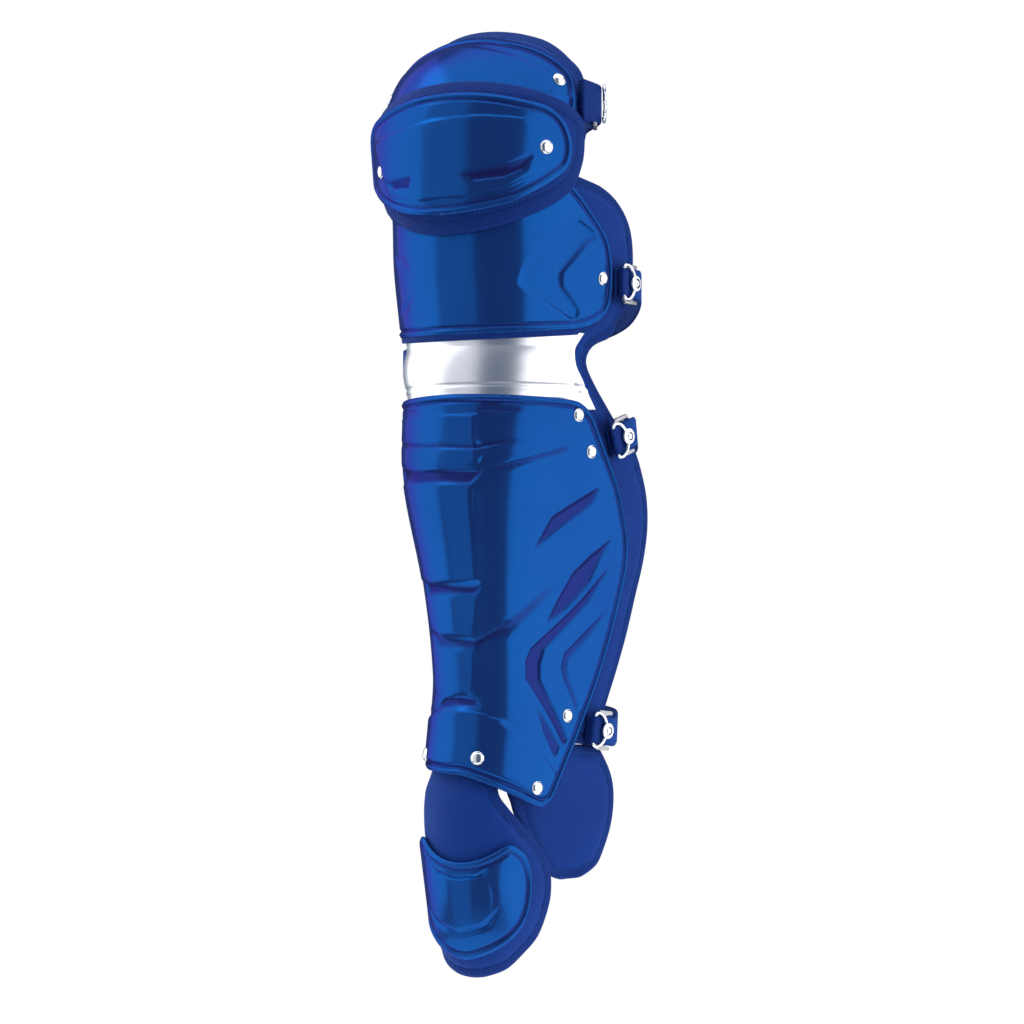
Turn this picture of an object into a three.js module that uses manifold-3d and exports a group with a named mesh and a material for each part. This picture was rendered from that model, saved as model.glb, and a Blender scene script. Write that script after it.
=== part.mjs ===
// Catcher's leg guard for one leg, buckled up as it is worn, built without the leg.
// Millimetres. The origin is on the leg's axis just below the knee, +Z is up the leg,
// the shin faces -Y and the buckles are on the +X side.
import * as THREE from "three";
import { mergeVertices } from "three/addons/utils/BufferGeometryUtils.js";
import Module from "manifold-3d";

const wasm = await Module();
wasm.setup();

// Driving sizes
const SHELL_THICKNESS = 2.6;
const LAYER_GAP = 0.9;
const BOWED_LAYER_GAP = 1.1;
const PAD_THICKNESS = 11;
const BAND_THICKNESS = 2.8;
const KNEE_PAD_THICKNESS = 3.6;
const STRAP_HEIGHT = 20;
const STRAP_THICKNESS = 1.8;
const RIVET_RADIUS = 4.4;
const RIVET_HEIGHT = 1.7;
const WIRE_RADIUS = 1.25;
const TIP_RADIUS = 1.4;
const PRONG_DROP = 0.15;
const SEAT_GAP = 0.3;

// Layers, measured outward from the skin of the form, which is the shells' outer face
const SHELL = { inner: -SHELL_THICKNESS, outer: 0 };
const PAD = { outer: SHELL.inner - LAYER_GAP, inner: SHELL.inner - LAYER_GAP - PAD_THICKNESS };
const BAND = { outer: SHELL.inner - LAYER_GAP, inner: SHELL.inner - LAYER_GAP - BAND_THICKNESS };
const KNEE_PAD = { inner: LAYER_GAP, outer: LAYER_GAP + KNEE_PAD_THICKNESS };
const KNEE_SHELL_BOTTOM = KNEE_PAD.outer + BOWED_LAYER_GAP;
const KNEE_SHELL = { inner: KNEE_SHELL_BOTTOM, outer: KNEE_SHELL_BOTTOM + SHELL_THICKNESS };
const THIGH_PAD = { outer: PAD.outer, inner: PAD.outer - 8 };
const FOOT_SHELL = { inner: 0, outer: SHELL_THICKNESS };
const FOOT_PAD = { outer: -BOWED_LAYER_GAP, inner: -BOWED_LAYER_GAP - 10 };
const ANKLE_PAD = { outer: PAD.outer - 1, inner: PAD.outer - 9 };

// How much thinner each pad gets at its edge, from either face
const LEG_PAD_SOFT = 2.5;
const FOOT_PAD_SOFT = 2;
const KNEE_PAD_SOFT = 1.5;
const THIGH_PAD_SOFT = 1.5;
const ANKLE_PAD_SOFT = 1.5;

// The pad is pressed in behind the waist band between these heights
const WAIST = { bottom: 8, top: 80, fade: 9, depth: BAND_THICKNESS + LAYER_GAP };

// The band swells out between the two shells' edges
const BAND_SWELL = { rise: 2.8, height: 44.5, halfHeight: 14.5 };

// The knee cup bulges outward most at its centre
const KNEE_CROWN = { rise: 4, height: 180, halfHeight: 46, halfWidth: 130 };

// The form of the leg: at each height, how far the front stands before the axis and how tightly it is bent
const FRONT_BEND = THREE.MathUtils.degToRad(62);
const FLANK_RADIUS = 380;
const LEG_FORM = [
  { z: -300, front: 70, radius: 44 },
  { z: -260, front: 70, radius: 44 },
  { z: -224, front: 66.5, radius: 43 },
  { z: -190, front: 60, radius: 43 },
  { z: -160, front: 58, radius: 42 },
  { z: -100, front: 66, radius: 47 },
  { z: -28, front: 80, radius: 60 },
  { z: 23, front: 75, radius: 66 },
  { z: 63, front: 73, radius: 70 },
  { z: 115, front: 80, radius: 73 },
  { z: 150, front: 82, radius: 73 },
  { z: 187, front: 84, radius: 76 },
  { z: 215, front: 85, radius: 81 },
  { z: 229, front: 80, radius: 78.5 },
  { z: 243, front: 72, radius: 75 },
  { z: 256, front: 60, radius: 69 },
  { z: 264, front: 50, radius: 62 },
  { z: 272, front: 40, radius: 54 },
  { z: 300, front: 26, radius: 46 },
];
const FOOT_FORM = [
  { z: -362, front: 53.5, radius: 30 },
  { z: -340, front: 60.5, radius: 34 },
  { z: -320, front: 65, radius: 36 },
  { z: -300, front: 68, radius: 38.5 },
  { z: -280, front: 69, radius: 41.5 },
  { z: -260, front: 69.5, radius: 44.5 },
  { z: -240, front: 68, radius: 46 },
  { z: -224, front: 62, radius: 42 },
  { z: -190, front: 55, radius: 40 },
];

// Outlines, bottom row first: the height at the middle and at the right-hand end of each row,
// how far it reaches round to each side, how much higher its left-hand end lies (lift)
// and how far its middle lies to the right of the front (shift), where there is any
const SHIN_SHELL_ROWS = [
  { mid: -223, end: -247, reach: 61, lift: 24 },
  { mid: -214, end: -243, reach: 69, lift: 21 },
  { mid: -201, end: -231, reach: 76, lift: 14 },
  { mid: -186, end: -212, reach: 85, lift: 7 },
  { mid: -170, end: -190, reach: 95 },
  { mid: -150, end: -165, reach: 108 },
  { mid: -128, end: -141, reach: 120 },
  { mid: -106, end: -114, reach: 132 },
  { mid: -85, end: -90, reach: 141 },
  { mid: -66, end: -70, reach: 143 },
  { mid: -49, end: -52, reach: 140 },
  { mid: -30, end: -33, reach: 134 },
  { mid: -12, end: -14, reach: 123 },
  { mid: 4, end: 3, reach: 112 },
  { mid: 16, end: 15, reach: 104 },
  { mid: 27, end: 24, reach: 93 },
];
const LEG_PAD_ROWS = [
  { mid: -200, end: -210, reach: 110 },
  { mid: -190, end: -200, reach: 117 },
  { mid: -175, end: -184, reach: 121 },
  { mid: -153, end: -160, reach: 133 },
  { mid: -129, end: -134, reach: 146 },
  { mid: -106, end: -109, reach: 157 },
  { mid: -84, end: -86, reach: 167 },
  { mid: -62, end: -63, reach: 173 },
  { mid: -40, end: -41, reach: 172 },
  { mid: -20, end: -21, reach: 164 },
  { mid: -4, end: -5, reach: 153 },
  { mid: 10, end: 9, reach: 138 },
  { mid: 24, end: 22, reach: 125 },
  { mid: 38, end: 36, reach: 112 },
  { mid: 52, end: 50, reach: 103 },
  { mid: 62, end: 61, reach: 109 },
  { mid: 71, end: 68, reach: 125 },
  { mid: 82, end: 78, reach: 133 },
  { mid: 100, end: 98, reach: 143 },
  { mid: 122, end: 120, reach: 148 },
  { mid: 142, end: 141, reach: 146 },
  { mid: 158, end: 156, reach: 136 },
  { mid: 170, end: 166, reach: 120 },
  { mid: 178, end: 171, reach: 98 },
];
const BAND_ROWS = [
  { mid: 15, end: 18, reach: 110 },
  { mid: 29, end: 30, reach: 101 },
  { mid: 37, end: 38, reach: 94 },
  { mid: 46, end: 46, reach: 88 },
  { mid: 54, end: 53, reach: 87 },
  { mid: 60, end: 59, reach: 89 },
  { mid: 72, end: 69, reach: 97 },
];
const UPPER_SHELL_ROWS = [
  { mid: 62, end: 67, reach: 88 },
  { mid: 67, end: 71, reach: 104 },
  { mid: 78, end: 82, reach: 116 },
  { mid: 94, end: 98, reach: 121 },
  { mid: 113, end: 116, reach: 122 },
  { mid: 131, end: 133, reach: 118 },
  { mid: 148, end: 147, reach: 106 },
  { mid: 161, end: 158, reach: 95 },
  { mid: 172, end: 168, reach: 84 },
];
const KNEE_PAD_ROWS = [
  { mid: 129, end: 138, reach: 47, lift: 5 },
  { mid: 136, end: 148, reach: 68, lift: 4 },
  { mid: 148, end: 161, reach: 85, lift: 3 },
  { mid: 164, end: 177, reach: 93, lift: 2 },
  { mid: 181, end: 191, reach: 95 },
  { mid: 199, end: 203, reach: 94 },
  { mid: 216, end: 210, reach: 88 },
  { mid: 228, end: 216, reach: 76 },
];
const KNEE_SHELL_ROWS = [
  { mid: 141, end: 149, reach: 46, lift: 3 },
  { mid: 147, end: 160, reach: 63, lift: 2 },
  { mid: 158, end: 171, reach: 76 },
  { mid: 172, end: 182, reach: 80 },
  { mid: 186, end: 193, reach: 79 },
  { mid: 200, end: 203, reach: 74 },
  { mid: 213, end: 210, reach: 64 },
  { mid: 219, end: 213, reach: 50 },
];
const THIGH_PAD_ROWS = [
  { mid: 180, end: 177, reach: 92 },
  { mid: 196, end: 195, reach: 98 },
  { mid: 210, end: 209, reach: 101 },
  { mid: 224, end: 223, reach: 101 },
  { mid: 237, end: 235, reach: 98 },
  { mid: 247, end: 244, reach: 91 },
  { mid: 256, end: 251, reach: 82, shift: -2, lift: 1.5 },
  { mid: 263, end: 258, reach: 72, shift: -4, lift: 3 },
  { mid: 269, end: 265, reach: 58, shift: -6, lift: 3 },
  { mid: 273, end: 270, reach: 38, shift: -7, lift: 1 },
];
const THIGH_SHELL_ROWS = [
  { mid: 190, end: 190, reach: 86 },
  { mid: 203, end: 203, reach: 89 },
  { mid: 215, end: 214, reach: 90 },
  { mid: 227, end: 225, reach: 89 },
  { mid: 239, end: 236, reach: 83 },
  { mid: 249, end: 244, reach: 75, shift: -2 },
  { mid: 257, end: 251, reach: 63, shift: -3, lift: 1.5 },
  { mid: 262, end: 257, reach: 48, shift: -4, lift: 2.5 },
  { mid: 266, end: 262, reach: 29, shift: -5, lift: 1 },
];
const FOOT_PAD_ROWS = [
  { mid: -359, end: -358, reach: 12 },
  { mid: -356, end: -353, reach: 30 },
  { mid: -348, end: -344, reach: 45 },
  { mid: -337, end: -334, reach: 58 },
  { mid: -322, end: -320, reach: 66, shift: 1 },
  { mid: -307, end: -306, reach: 70, shift: 2 },
  { mid: -291, end: -291, reach: 70, shift: 2 },
  { mid: -276, end: -277, reach: 66, shift: 0.5 },
  { mid: -264, end: -265, reach: 59, shift: -3 },
  { mid: -253, end: -254, reach: 51, shift: -5.5 },
  { mid: -243, end: -244, reach: 44, shift: -8.5 },
  { mid: -233, end: -234, reach: 38, shift: -11 },
  { mid: -219, end: -220, reach: 35, shift: -10 },
  { mid: -201.5, end: -204.5, reach: 36, shift: -6 },
];
const FOOT_SHELL_ROWS = [
  { mid: -345, end: -344, reach: 8 },
  { mid: -341, end: -338, reach: 22 },
  { mid: -333, end: -328, reach: 38 },
  { mid: -321, end: -316, reach: 48 },
  { mid: -308, end: -302, reach: 52 },
  { mid: -296, end: -288, reach: 52 },
  { mid: -287, end: -275, reach: 47 },
  { mid: -279, end: -264, reach: 36 },
];

// The ankle pads' outline: the near and the far edge of each row round the leg, the heights there
// and how far the near edge is sunk to pass behind the foot pad
const ANKLE_PAD_ROWS = [
  { near: 87, nearLeft: 89, far: 105, nearZ: -299, farZ: -298, sink: 6 },
  { near: 76, nearLeft: 77, far: 119, nearZ: -293, farZ: -292, sink: 6.5 },
  { near: 65, nearLeft: 68, far: 127, nearZ: -281, farZ: -281, sink: 7 },
  { near: 57, nearLeft: 61, far: 134, nearZ: -267, farZ: -267, sink: 7 },
  { near: 50, nearLeft: 57, far: 137, nearZ: -254, farZ: -253, sink: 6.5 },
  { near: 43, nearLeft: 55, far: 136, nearZ: -243, farZ: -239, sink: 5 },
  { near: 36, nearLeft: 53, far: 130, nearZ: -230, farZ: -226, sink: 2.5 },
  { near: 34, nearLeft: 53, far: 117, nearZ: -203.1, farZ: -211.7, sink: 0 },
];
const ANKLE_SINK_ENDS = { near: 0.15, far: 0.85 };

// Rivets: the place round the leg and the height of each, by the shell that it holds
const RIVETS = [
  { name: "thigh_right", around: 74, z: 231, on: SHELL },
  { name: "thigh_left", around: -74, z: 231, on: SHELL },
  { name: "knee_right", around: 62, z: 183, on: KNEE_SHELL },
  { name: "knee_left", around: -50, z: 176, on: KNEE_SHELL },
  { name: "upper_right", around: 112, z: 105, on: SHELL },
  { name: "upper_left", around: -112, z: 105, on: SHELL },
  { name: "shin_top_right", around: 91, z: 14, on: SHELL },
  { name: "shin_top_left", around: -91, z: 14, on: SHELL },
  { name: "shin_side_right", around: 105, z: -10, on: SHELL },
  { name: "shin_side_left", around: -105, z: -10, on: SHELL },
  { name: "shin_low_right", around: 78, z: -187, on: SHELL },
  { name: "shin_low_left", around: -78, z: -187, on: SHELL },
  { name: "collar_right", around: 55, z: -232, on: SHELL },
  { name: "collar_front", around: 12, z: -211, on: SHELL },
  { name: "collar_left", around: -38, z: -213, on: SHELL },
];

// Clips: where the middle of each one lies, which way it faces in plan from the front,
// how far its top leans forward, and where its tab is sewn on
const CLIPS = [
  { name: "thigh", x: 73, y: -11, z: 219, facing: 114, lean: 0, tabAround: 94, tabHeight: 28 },
  { name: "knee", x: 88, y: 10, z: 103, facing: 80, lean: 0, tabAround: 126, tabHeight: 20 },
  { name: "calf", x: 82, y: 13, z: 1, facing: 73, lean: 18, tabAround: 123, tabHeight: 26 },
  { name: "ankle", x: 64, y: 19, z: -199, facing: 73, lean: -9, tabAround: 99, tabHeight: 20 },
];

// Straps: the half width, the middle and the depth of each one's loop behind the leg,
// where its far end is sewn to the left-hand side of the pads, and how far it stands off at their edge
const STRAPS = [
  { halfWidth: 58, middle: -6, depth: 62, endAround: 93, edgeAround: 101, bulge: 5, endZ: 215 },
  { halfWidth: 84, middle: 26, depth: 62, endAround: 96, edgeAround: 103, bulge: 2, endZ: 54 },
  { halfWidth: 80, middle: 30, depth: 60, endAround: 125, edgeAround: 145, bulge: 0, endZ: 1 },
  { halfWidth: 66, middle: 30, depth: 56, endAround: 100, edgeAround: 117, bulge: 0, endZ: -197 },
];

// The buckle's parts, in its own plane: x runs back round the leg and y up it
const BAR = { tab: -6, strap: 3, half: 1.3 };
const FOLD_RADIUS = 3.2;
const LEAF = 1.3;
const PLATE = { radius: 5.4, bottom: 5.4, top: 7.1 };
const BUTTON = { top: 1.4, foot: 1.9, height: 0.9 };
const LOOP = { half: 13.4, opening: 10.7, front: 10, shoulder: 2, rear: 9 };
const PRONG = [
  { x: -1.5, y: 3.6 },
  { x: -4, y: 8.2 },
  { x: -8, y: 11 },
  { x: -12, y: 11.2 },
  { x: -14.3, y: 9 },
];

// Where the webbing leaves the bars, and how far its sewn ends stand clear of the pads
const TAB_LEAVES = 5;
const STRAP_LEAVES = 9;
const TAB_CLEAR = 0.7;
const TAB_FOLD_CLEAR = 0.6;
const STRAP_CLEAR = 0.5;
const STRAP_EDGE = { before: 6, rise: 1 };

// The half turns of each fold round its bar, and the places of the strap round the back of the leg
const TAB_FOLD = [-0.5, -0.25, 0, 0.25, 0.5];
const STRAP_FOLD = [-0.5, -0.75, -1, -1.25, -1.5];
const STRAP_TURNS = [20, 45, 70, 95, 120, 145];
const STRAP_ALL_ROUND = 160;

// The dome of a rivet, as shares of its radius and height
const RIVET_DOME = [
  { r: 0, h: 0 },
  { r: 1, h: 0 },
  { r: 0.94, h: 0.45 },
  { r: 0.6, h: 0.85 },
  { r: 0, h: 1 },
];

const COLOURS = {
  plastic: { color: 0x0f4fb4, roughness: 0.16, metalness: 0 },
  cloth: { color: 0x12398f, roughness: 0.85, metalness: 0 },
  webbing: { color: 0x0c4bb5, roughness: 0.8, metalness: 0 },
  silver: { color: 0xd8dadd, roughness: 0.2, metalness: 0.9 },
  steel: { color: 0xe4e4e4, roughness: 0.15, metalness: 1 },
};

// A smooth curve between two values with a slope at each end, over a share t of the way
function curve(from, to, startSlope, endSlope, t) {
  const rise = to - from;
  const bend = startSlope + endSlope - 2 * rise;
  return from + t * (startSlope + t * (rise - startSlope - bend + t * bend));
}

// The value of one column between two rows of a table, on a smooth curve through the rows
function smooth(table, at, column) {
  const last = table.length - 1;
  const row = Math.min(Math.floor(at), last - 1);
  const t = at - row;
  const value = (index) => table[THREE.MathUtils.clamp(index, 0, last)][column] ?? 0;
  const startSlope = (value(row + 1) - value(row - 1)) / 2;
  const endSlope = (value(row + 2) - value(row)) / 2;
  return curve(value(row), value(row + 1), startSlope, endSlope, t);
}

// One column of a form table at any height, on a smooth curve through its rows
function shapeAt(form, z, column) {
  const last = form.length - 1;
  const found = form.findIndex((row) => row.z > z);
  const row = THREE.MathUtils.clamp(found < 0 ? last - 1 : found - 1, 0, last - 1);
  const step = form[row + 1].z - form[row].z;
  const t = THREE.MathUtils.clamp((z - form[row].z) / step, 0, 1);
  const slope = (index) => {
    const before = form[Math.max(index - 1, 0)];
    const after = form[Math.min(index + 1, last)];
    return (after[column] - before[column]) / (after.z - before.z);
  };
  return curve(form[row][column], form[row + 1][column], slope(row) * step, slope(row + 1) * step, t);
}

// The point of the form at a distance round from the front, a height and an offset outward
function onForm(form, around, z, outward) {
  const radius = shapeAt(form, z, "radius");
  const front = shapeAt(form, z, "front");
  const distance = Math.abs(around);
  const bent = radius * FRONT_BEND;
  const side = around < 0 ? -1 : 1;
  const onFront = distance <= bent;
  const angle = onFront ? distance / radius : FRONT_BEND + (distance - bent) / FLANK_RADIUS;
  const sweep = onFront ? radius : FLANK_RADIUS;
  const centreX = onFront ? 0 : (radius - FLANK_RADIUS) * Math.sin(FRONT_BEND);
  const centreY = radius - front - (onFront ? 0 : (radius - FLANK_RADIUS) * Math.cos(FRONT_BEND));
  const x = centreX + (sweep + outward) * Math.sin(angle);
  const y = centreY - (sweep + outward) * Math.cos(angle);
  return new THREE.Vector3(side * x, y, z);
}

// A closed body from a box grid whose points are put in place by a function of three fractions
function bentBox(across, along, place) {
  const box = new THREE.BoxGeometry(1, 1, 1, across, along, 1);
  box.deleteAttribute("normal");
  box.deleteAttribute("uv");
  const solid = mergeVertices(box, 1e-6);
  const position = solid.attributes.position;
  for (let i = 0; i < position.count; i += 1) {
    const point = place(position.getX(i) + 0.5, position.getY(i) + 0.5, position.getZ(i) + 0.5);
    position.setXYZ(i, point.x, point.y, point.z);
  }
  solid.computeVertexNormals();
  return solid;
}

// A shell or pad that wraps the form symmetrically, between two layers
function panel({ form = LEG_FORM, rows, layer, columns, arch = 2, soft = 0, spread = 1, relief = () => 0 }) {
  return bentBox(columns, rows.length - 1, (across, along, through) => {
    const at = along * (rows.length - 1);
    const signed = 2 * across - 1;
    const share = Math.abs(signed) ** spread;
    const leftLift = signed < 0 ? smooth(rows, at, "lift") : 0;
    const mid = smooth(rows, at, "mid");
    const end = smooth(rows, at, "end") + leftLift;
    const z = mid + (end - mid) * share ** arch;
    const around = Math.sign(signed) * share * smooth(rows, at, "reach") + smooth(rows, at, "shift");
    const onEdge = share > 0.999 || along < 0.001 || along > 0.999;
    const rounding = onEdge ? soft : 0;
    const outward = through > 0.5 ? layer.outer - rounding : layer.inner + rounding;
    return onForm(form, around, z, outward + relief(around, z, through));
  });
}

// How far the knee cup bulges at a place on it
function kneeCrown(around, z) {
  const wide = Math.max(0, 1 - (around / KNEE_CROWN.halfWidth) ** 2);
  const tall = Math.max(0, 1 - ((z - KNEE_CROWN.height) / KNEE_CROWN.halfHeight) ** 2);
  return KNEE_CROWN.rise * wide * tall;
}

// How far the band swells out at a height
function bandSwell(around, z, through) {
  const tall = Math.max(0, 1 - ((z - BAND_SWELL.height) / BAND_SWELL.halfHeight) ** 2);
  return through > 0.5 ? BAND_SWELL.rise * tall : 0;
}

// How far the pad's outer face is pressed in behind the waist band
function waistHollow(around, z, through) {
  const below = THREE.MathUtils.smoothstep(z, WAIST.bottom - WAIST.fade, WAIST.bottom);
  const above = 1 - THREE.MathUtils.smoothstep(z, WAIST.top, WAIST.top + WAIST.fade);
  return through > 0.5 ? -WAIST.depth * below * above : 0;
}

// A pad on one side of the ankle
function anklePad(side) {
  return bentBox(6, ANKLE_PAD_ROWS.length - 1, (across, along, through) => {
    const share = side > 0 ? across : 1 - across;
    const at = along * (ANKLE_PAD_ROWS.length - 1);
    const edge = (column) => smooth(ANKLE_PAD_ROWS, at, column);
    const near = edge(side > 0 ? "near" : "nearLeft");
    const around = side * THREE.MathUtils.lerp(near, edge("far"), share);
    const z = THREE.MathUtils.lerp(edge("nearZ"), edge("farZ"), share);
    const onEdge = Math.abs(across - 0.5) > 0.499 || Math.abs(along - 0.5) > 0.499;
    const rounding = onEdge ? ANKLE_PAD_SOFT : 0;
    const level = through > 0.5 ? ANKLE_PAD.outer - rounding : ANKLE_PAD.inner + rounding;
    const sunk = 1 - THREE.MathUtils.smoothstep(share, ANKLE_SINK_ENDS.near, ANKLE_SINK_ENDS.far);
    return onForm(LEG_FORM, around, z, level - edge("sink") * sunk);
  });
}

// The outward direction of a shell's outer face, with its slope up the leg
function facing(place, around, z) {
  const across = place(around + 1, z).sub(place(around - 1, z));
  const upward = place(around, z + 1).sub(place(around, z - 1));
  return across.cross(upward).normalize();
}

// A domed rivet head that stands on a shell
function rivetHead({ around, z, on }) {
  const crown = (s, height) => (on === KNEE_SHELL ? kneeCrown(s, height) : 0);
  const place = (s, height) => onForm(LEG_FORM, s, height, on.outer + crown(s, height));
  const outward = facing(place, around, z);
  const profile = RIVET_DOME.map(({ r, h }) => new THREE.Vector2(r * RIVET_RADIUS, h * RIVET_HEIGHT));
  const geometry = new THREE.LatheGeometry(profile, 10);
  const turn = new THREE.Quaternion().setFromUnitVectors(new THREE.Vector3(0, 1, 0), outward);
  return { geometry, position: place(around, z).addScaledVector(outward, SEAT_GAP), turn };
}

// A flat ribbon through a list of points, with its own upward direction and height at each end
function ribbon(points, start, end) {
  const path = new THREE.CatmullRomCurve3(points, false, "centripetal");
  const steps = 2 * (points.length - 1);
  return bentBox(steps, 1, (along, upward, through) => {
    const tangent = path.getTangent(along);
    const share = THREE.MathUtils.smoothstep(along, 0.1, 0.7);
    const up = start.up.clone().lerp(end.up, share).normalize();
    const across = tangent.clone().cross(up).normalize();
    const height = THREE.MathUtils.lerp(start.height, end.height, (2 * along - 1) ** 2);
    return path.getPoint(along)
      .addScaledVector(up, (upward - 0.5) * height)
      .addScaledVector(across, (through - 0.5) * STRAP_THICKNESS);
  });
}

// The middle of a clip and its own three directions
function clipFrame(clip) {
  const turned = THREE.MathUtils.degToRad(clip.facing);
  const lean = THREE.MathUtils.degToRad(clip.lean);
  const level = new THREE.Vector3(Math.cos(turned), Math.sin(turned), 0);
  const upright = new THREE.Vector3(0, 0, 1);
  const back = level.clone().multiplyScalar(Math.cos(lean)).addScaledVector(upright, Math.sin(lean));
  const up = level.clone().multiplyScalar(-Math.sin(lean)).addScaledVector(upright, Math.cos(lean));
  const out = new THREE.Vector3(Math.sin(turned), -Math.cos(turned), 0);
  const middle = new THREE.Vector3(clip.x, clip.y, clip.z);
  const place = (x, z) => middle.clone().addScaledVector(back, x).addScaledVector(out, z);
  const matrix = new THREE.Matrix4().makeBasis(back, up, out).setPosition(middle);
  return { back, up, out, place, matrix };
}

// The points of a fold round a bar of the loop
function foldRound(place, bar, turns) {
  return turns.map((turn) => {
    const angle = turn * Math.PI;
    return place(bar + FOLD_RADIUS * Math.cos(angle), FOLD_RADIUS * Math.sin(angle));
  });
}

// The webbing tab on the pad, folded round the front bar of the buckle's loop
function tab(clip) {
  const { place, up } = clipFrame(clip);
  const sewn = (outward) => onForm(LEG_FORM, clip.tabAround, clip.z, outward);
  const low = PAD.outer + TAB_CLEAR + STRAP_THICKNESS / 2;
  const points = [
    sewn(low),
    place(BAR.tab - TAB_LEAVES, -FOLD_RADIUS),
    ...foldRound(place, BAR.tab, TAB_FOLD),
    place(BAR.tab - TAB_LEAVES, FOLD_RADIUS - STRAP_CLEAR),
    sewn(low + STRAP_THICKNESS + TAB_FOLD_CLEAR),
  ];
  return ribbon(points, { up, height: STRAP_HEIGHT }, { up, height: clip.tabHeight });
}

// The elastic strap: folded round the rear bar, round the back of the leg and on to the left-hand side
function strap(clip, loop) {
  const { place, up } = clipFrame(clip);
  const behind = STRAP_TURNS.map((degrees) => {
    const angle = THREE.MathUtils.degToRad(degrees);
    const x = loop.halfWidth * Math.cos(angle);
    const y = loop.middle + loop.depth * Math.sin(angle);
    return new THREE.Vector3(x, y, THREE.MathUtils.lerp(clip.z, loop.endZ, degrees / STRAP_ALL_ROUND));
  });
  const lie = PAD.outer + STRAP_CLEAR + STRAP_THICKNESS / 2;
  const arrive = (around, outward) => onForm(LEG_FORM, -around, loop.endZ, outward);
  const points = [
    place(BAR.strap + STRAP_LEAVES, -LEAF),
    ...foldRound(place, BAR.strap, STRAP_FOLD),
    place(BAR.strap + STRAP_LEAVES, LEAF),
    ...behind,
    arrive(loop.edgeAround + STRAP_EDGE.before, lie + loop.bulge + STRAP_EDGE.rise),
    arrive(loop.edgeAround, lie + loop.bulge),
    arrive(loop.endAround, lie),
  ];
  const upright = new THREE.Vector3(0, 0, 1);
  return ribbon(points, { up, height: STRAP_HEIGHT }, { up: upright, height: STRAP_HEIGHT });
}

// The steel loop: a bar for the tab, a bar for the strap and two ears that keep the strap from slipping off
function loopFrame() {
  const ear = (LOOP.half - LOOP.opening) / 2;
  const outline = new THREE.Shape();
  outline.moveTo(BAR.tab - BAR.half, -LOOP.front);
  outline.lineTo(BAR.tab + LOOP.shoulder, -LOOP.half);
  outline.lineTo(LOOP.rear - ear, -LOOP.half);
  outline.absarc(LOOP.rear - ear, ear - LOOP.half, ear, -Math.PI / 2, Math.PI / 2, false);
  outline.lineTo(BAR.strap + BAR.half, -LOOP.opening);
  outline.lineTo(BAR.strap + BAR.half, LOOP.opening);
  outline.lineTo(LOOP.rear - ear, LOOP.opening);
  outline.absarc(LOOP.rear - ear, LOOP.half - ear, ear, -Math.PI / 2, Math.PI / 2, false);
  outline.lineTo(BAR.tab + LOOP.shoulder, LOOP.half);
  outline.lineTo(BAR.tab - BAR.half, LOOP.front);
  outline.closePath();
  const opening = new THREE.Path();
  opening.moveTo(BAR.tab + BAR.half, -LOOP.opening);
  opening.lineTo(BAR.tab + BAR.half, LOOP.opening);
  opening.lineTo(BAR.strap - BAR.half, LOOP.opening);
  opening.lineTo(BAR.strap - BAR.half, -LOOP.opening);
  opening.closePath();
  outline.holes.push(opening);
  const depth = 2 * BAR.half;
  const geometry = new THREE.ExtrudeGeometry(outline, { depth, bevelEnabled: false, curveSegments: 5 });
  return geometry.translate(0, 0, -BAR.half);
}

// A three.js geometry as a solid for joining
function asSolid(geometry) {
  const source = geometry.index ? geometry.toNonIndexed() : geometry.clone();
  source.deleteAttribute("normal");
  source.deleteAttribute("uv");
  const merged = mergeVertices(source, 1e-4);
  const vertProperties = new Float32Array(merged.attributes.position.array);
  const triVerts = new Uint32Array(merged.index.array);
  return new wasm.Manifold(new wasm.Mesh({ numProp: 3, vertProperties, triVerts }));
}

// A joined solid as a three.js geometry
function asGeometry(solid) {
  const mesh = solid.getMesh();
  const geometry = new THREE.BufferGeometry();
  geometry.setAttribute("position", new THREE.BufferAttribute(new Float32Array(mesh.vertProperties), 3));
  geometry.setIndex(new THREE.BufferAttribute(new Uint32Array(mesh.triVerts), 1));
  geometry.computeVertexNormals();
  return geometry;
}

// The anchor-shaped hook: a round plate with a rivet and two bent wire prongs
function hook() {
  const thickness = PLATE.top - PLATE.bottom;
  const middle = (PLATE.top + PLATE.bottom) / 2;
  const plate = new THREE.CylinderGeometry(PLATE.radius, PLATE.radius, thickness, 16);
  plate.rotateX(Math.PI / 2).translate(0, 0, middle);
  const button = new THREE.CylinderGeometry(BUTTON.top, BUTTON.foot, BUTTON.height, 8);
  button.rotateX(Math.PI / 2).translate(0, 0, PLATE.top + BUTTON.height / 3);
  let solid = asSolid(plate).add(asSolid(button));
  [-1, 1].forEach((side) => {
    const route = PRONG.map(({ x, y }, i) => new THREE.Vector3(x, side * y, middle - PRONG_DROP * i));
    const path = new THREE.CatmullRomCurve3(route);
    const section = new THREE.Shape().absarc(0, 0, WIRE_RADIUS, 0, 2 * Math.PI);
    const wire = new THREE.ExtrudeGeometry(section, { steps: 5, curveSegments: 3, extrudePath: path });
    const tip = new THREE.SphereGeometry(TIP_RADIUS, 6, 5).translate(...route.at(-1).toArray());
    solid = solid.add(asSolid(wire)).add(asSolid(tip));
  });
  return asGeometry(solid);
}

const guard = new THREE.Group();
guard.name = "leg_guard";

function add(name, geometry, look) {
  const mesh = new THREE.Mesh(geometry, new THREE.MeshStandardMaterial(COLOURS[look]));
  mesh.name = name;
  guard.add(mesh);
  return mesh;
}

const kneeRelief = (around, z) => kneeCrown(around, z);
const kneePadRelief = (around, z, through) => (through > 0.5 ? kneeCrown(around, z) : 0);

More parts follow.
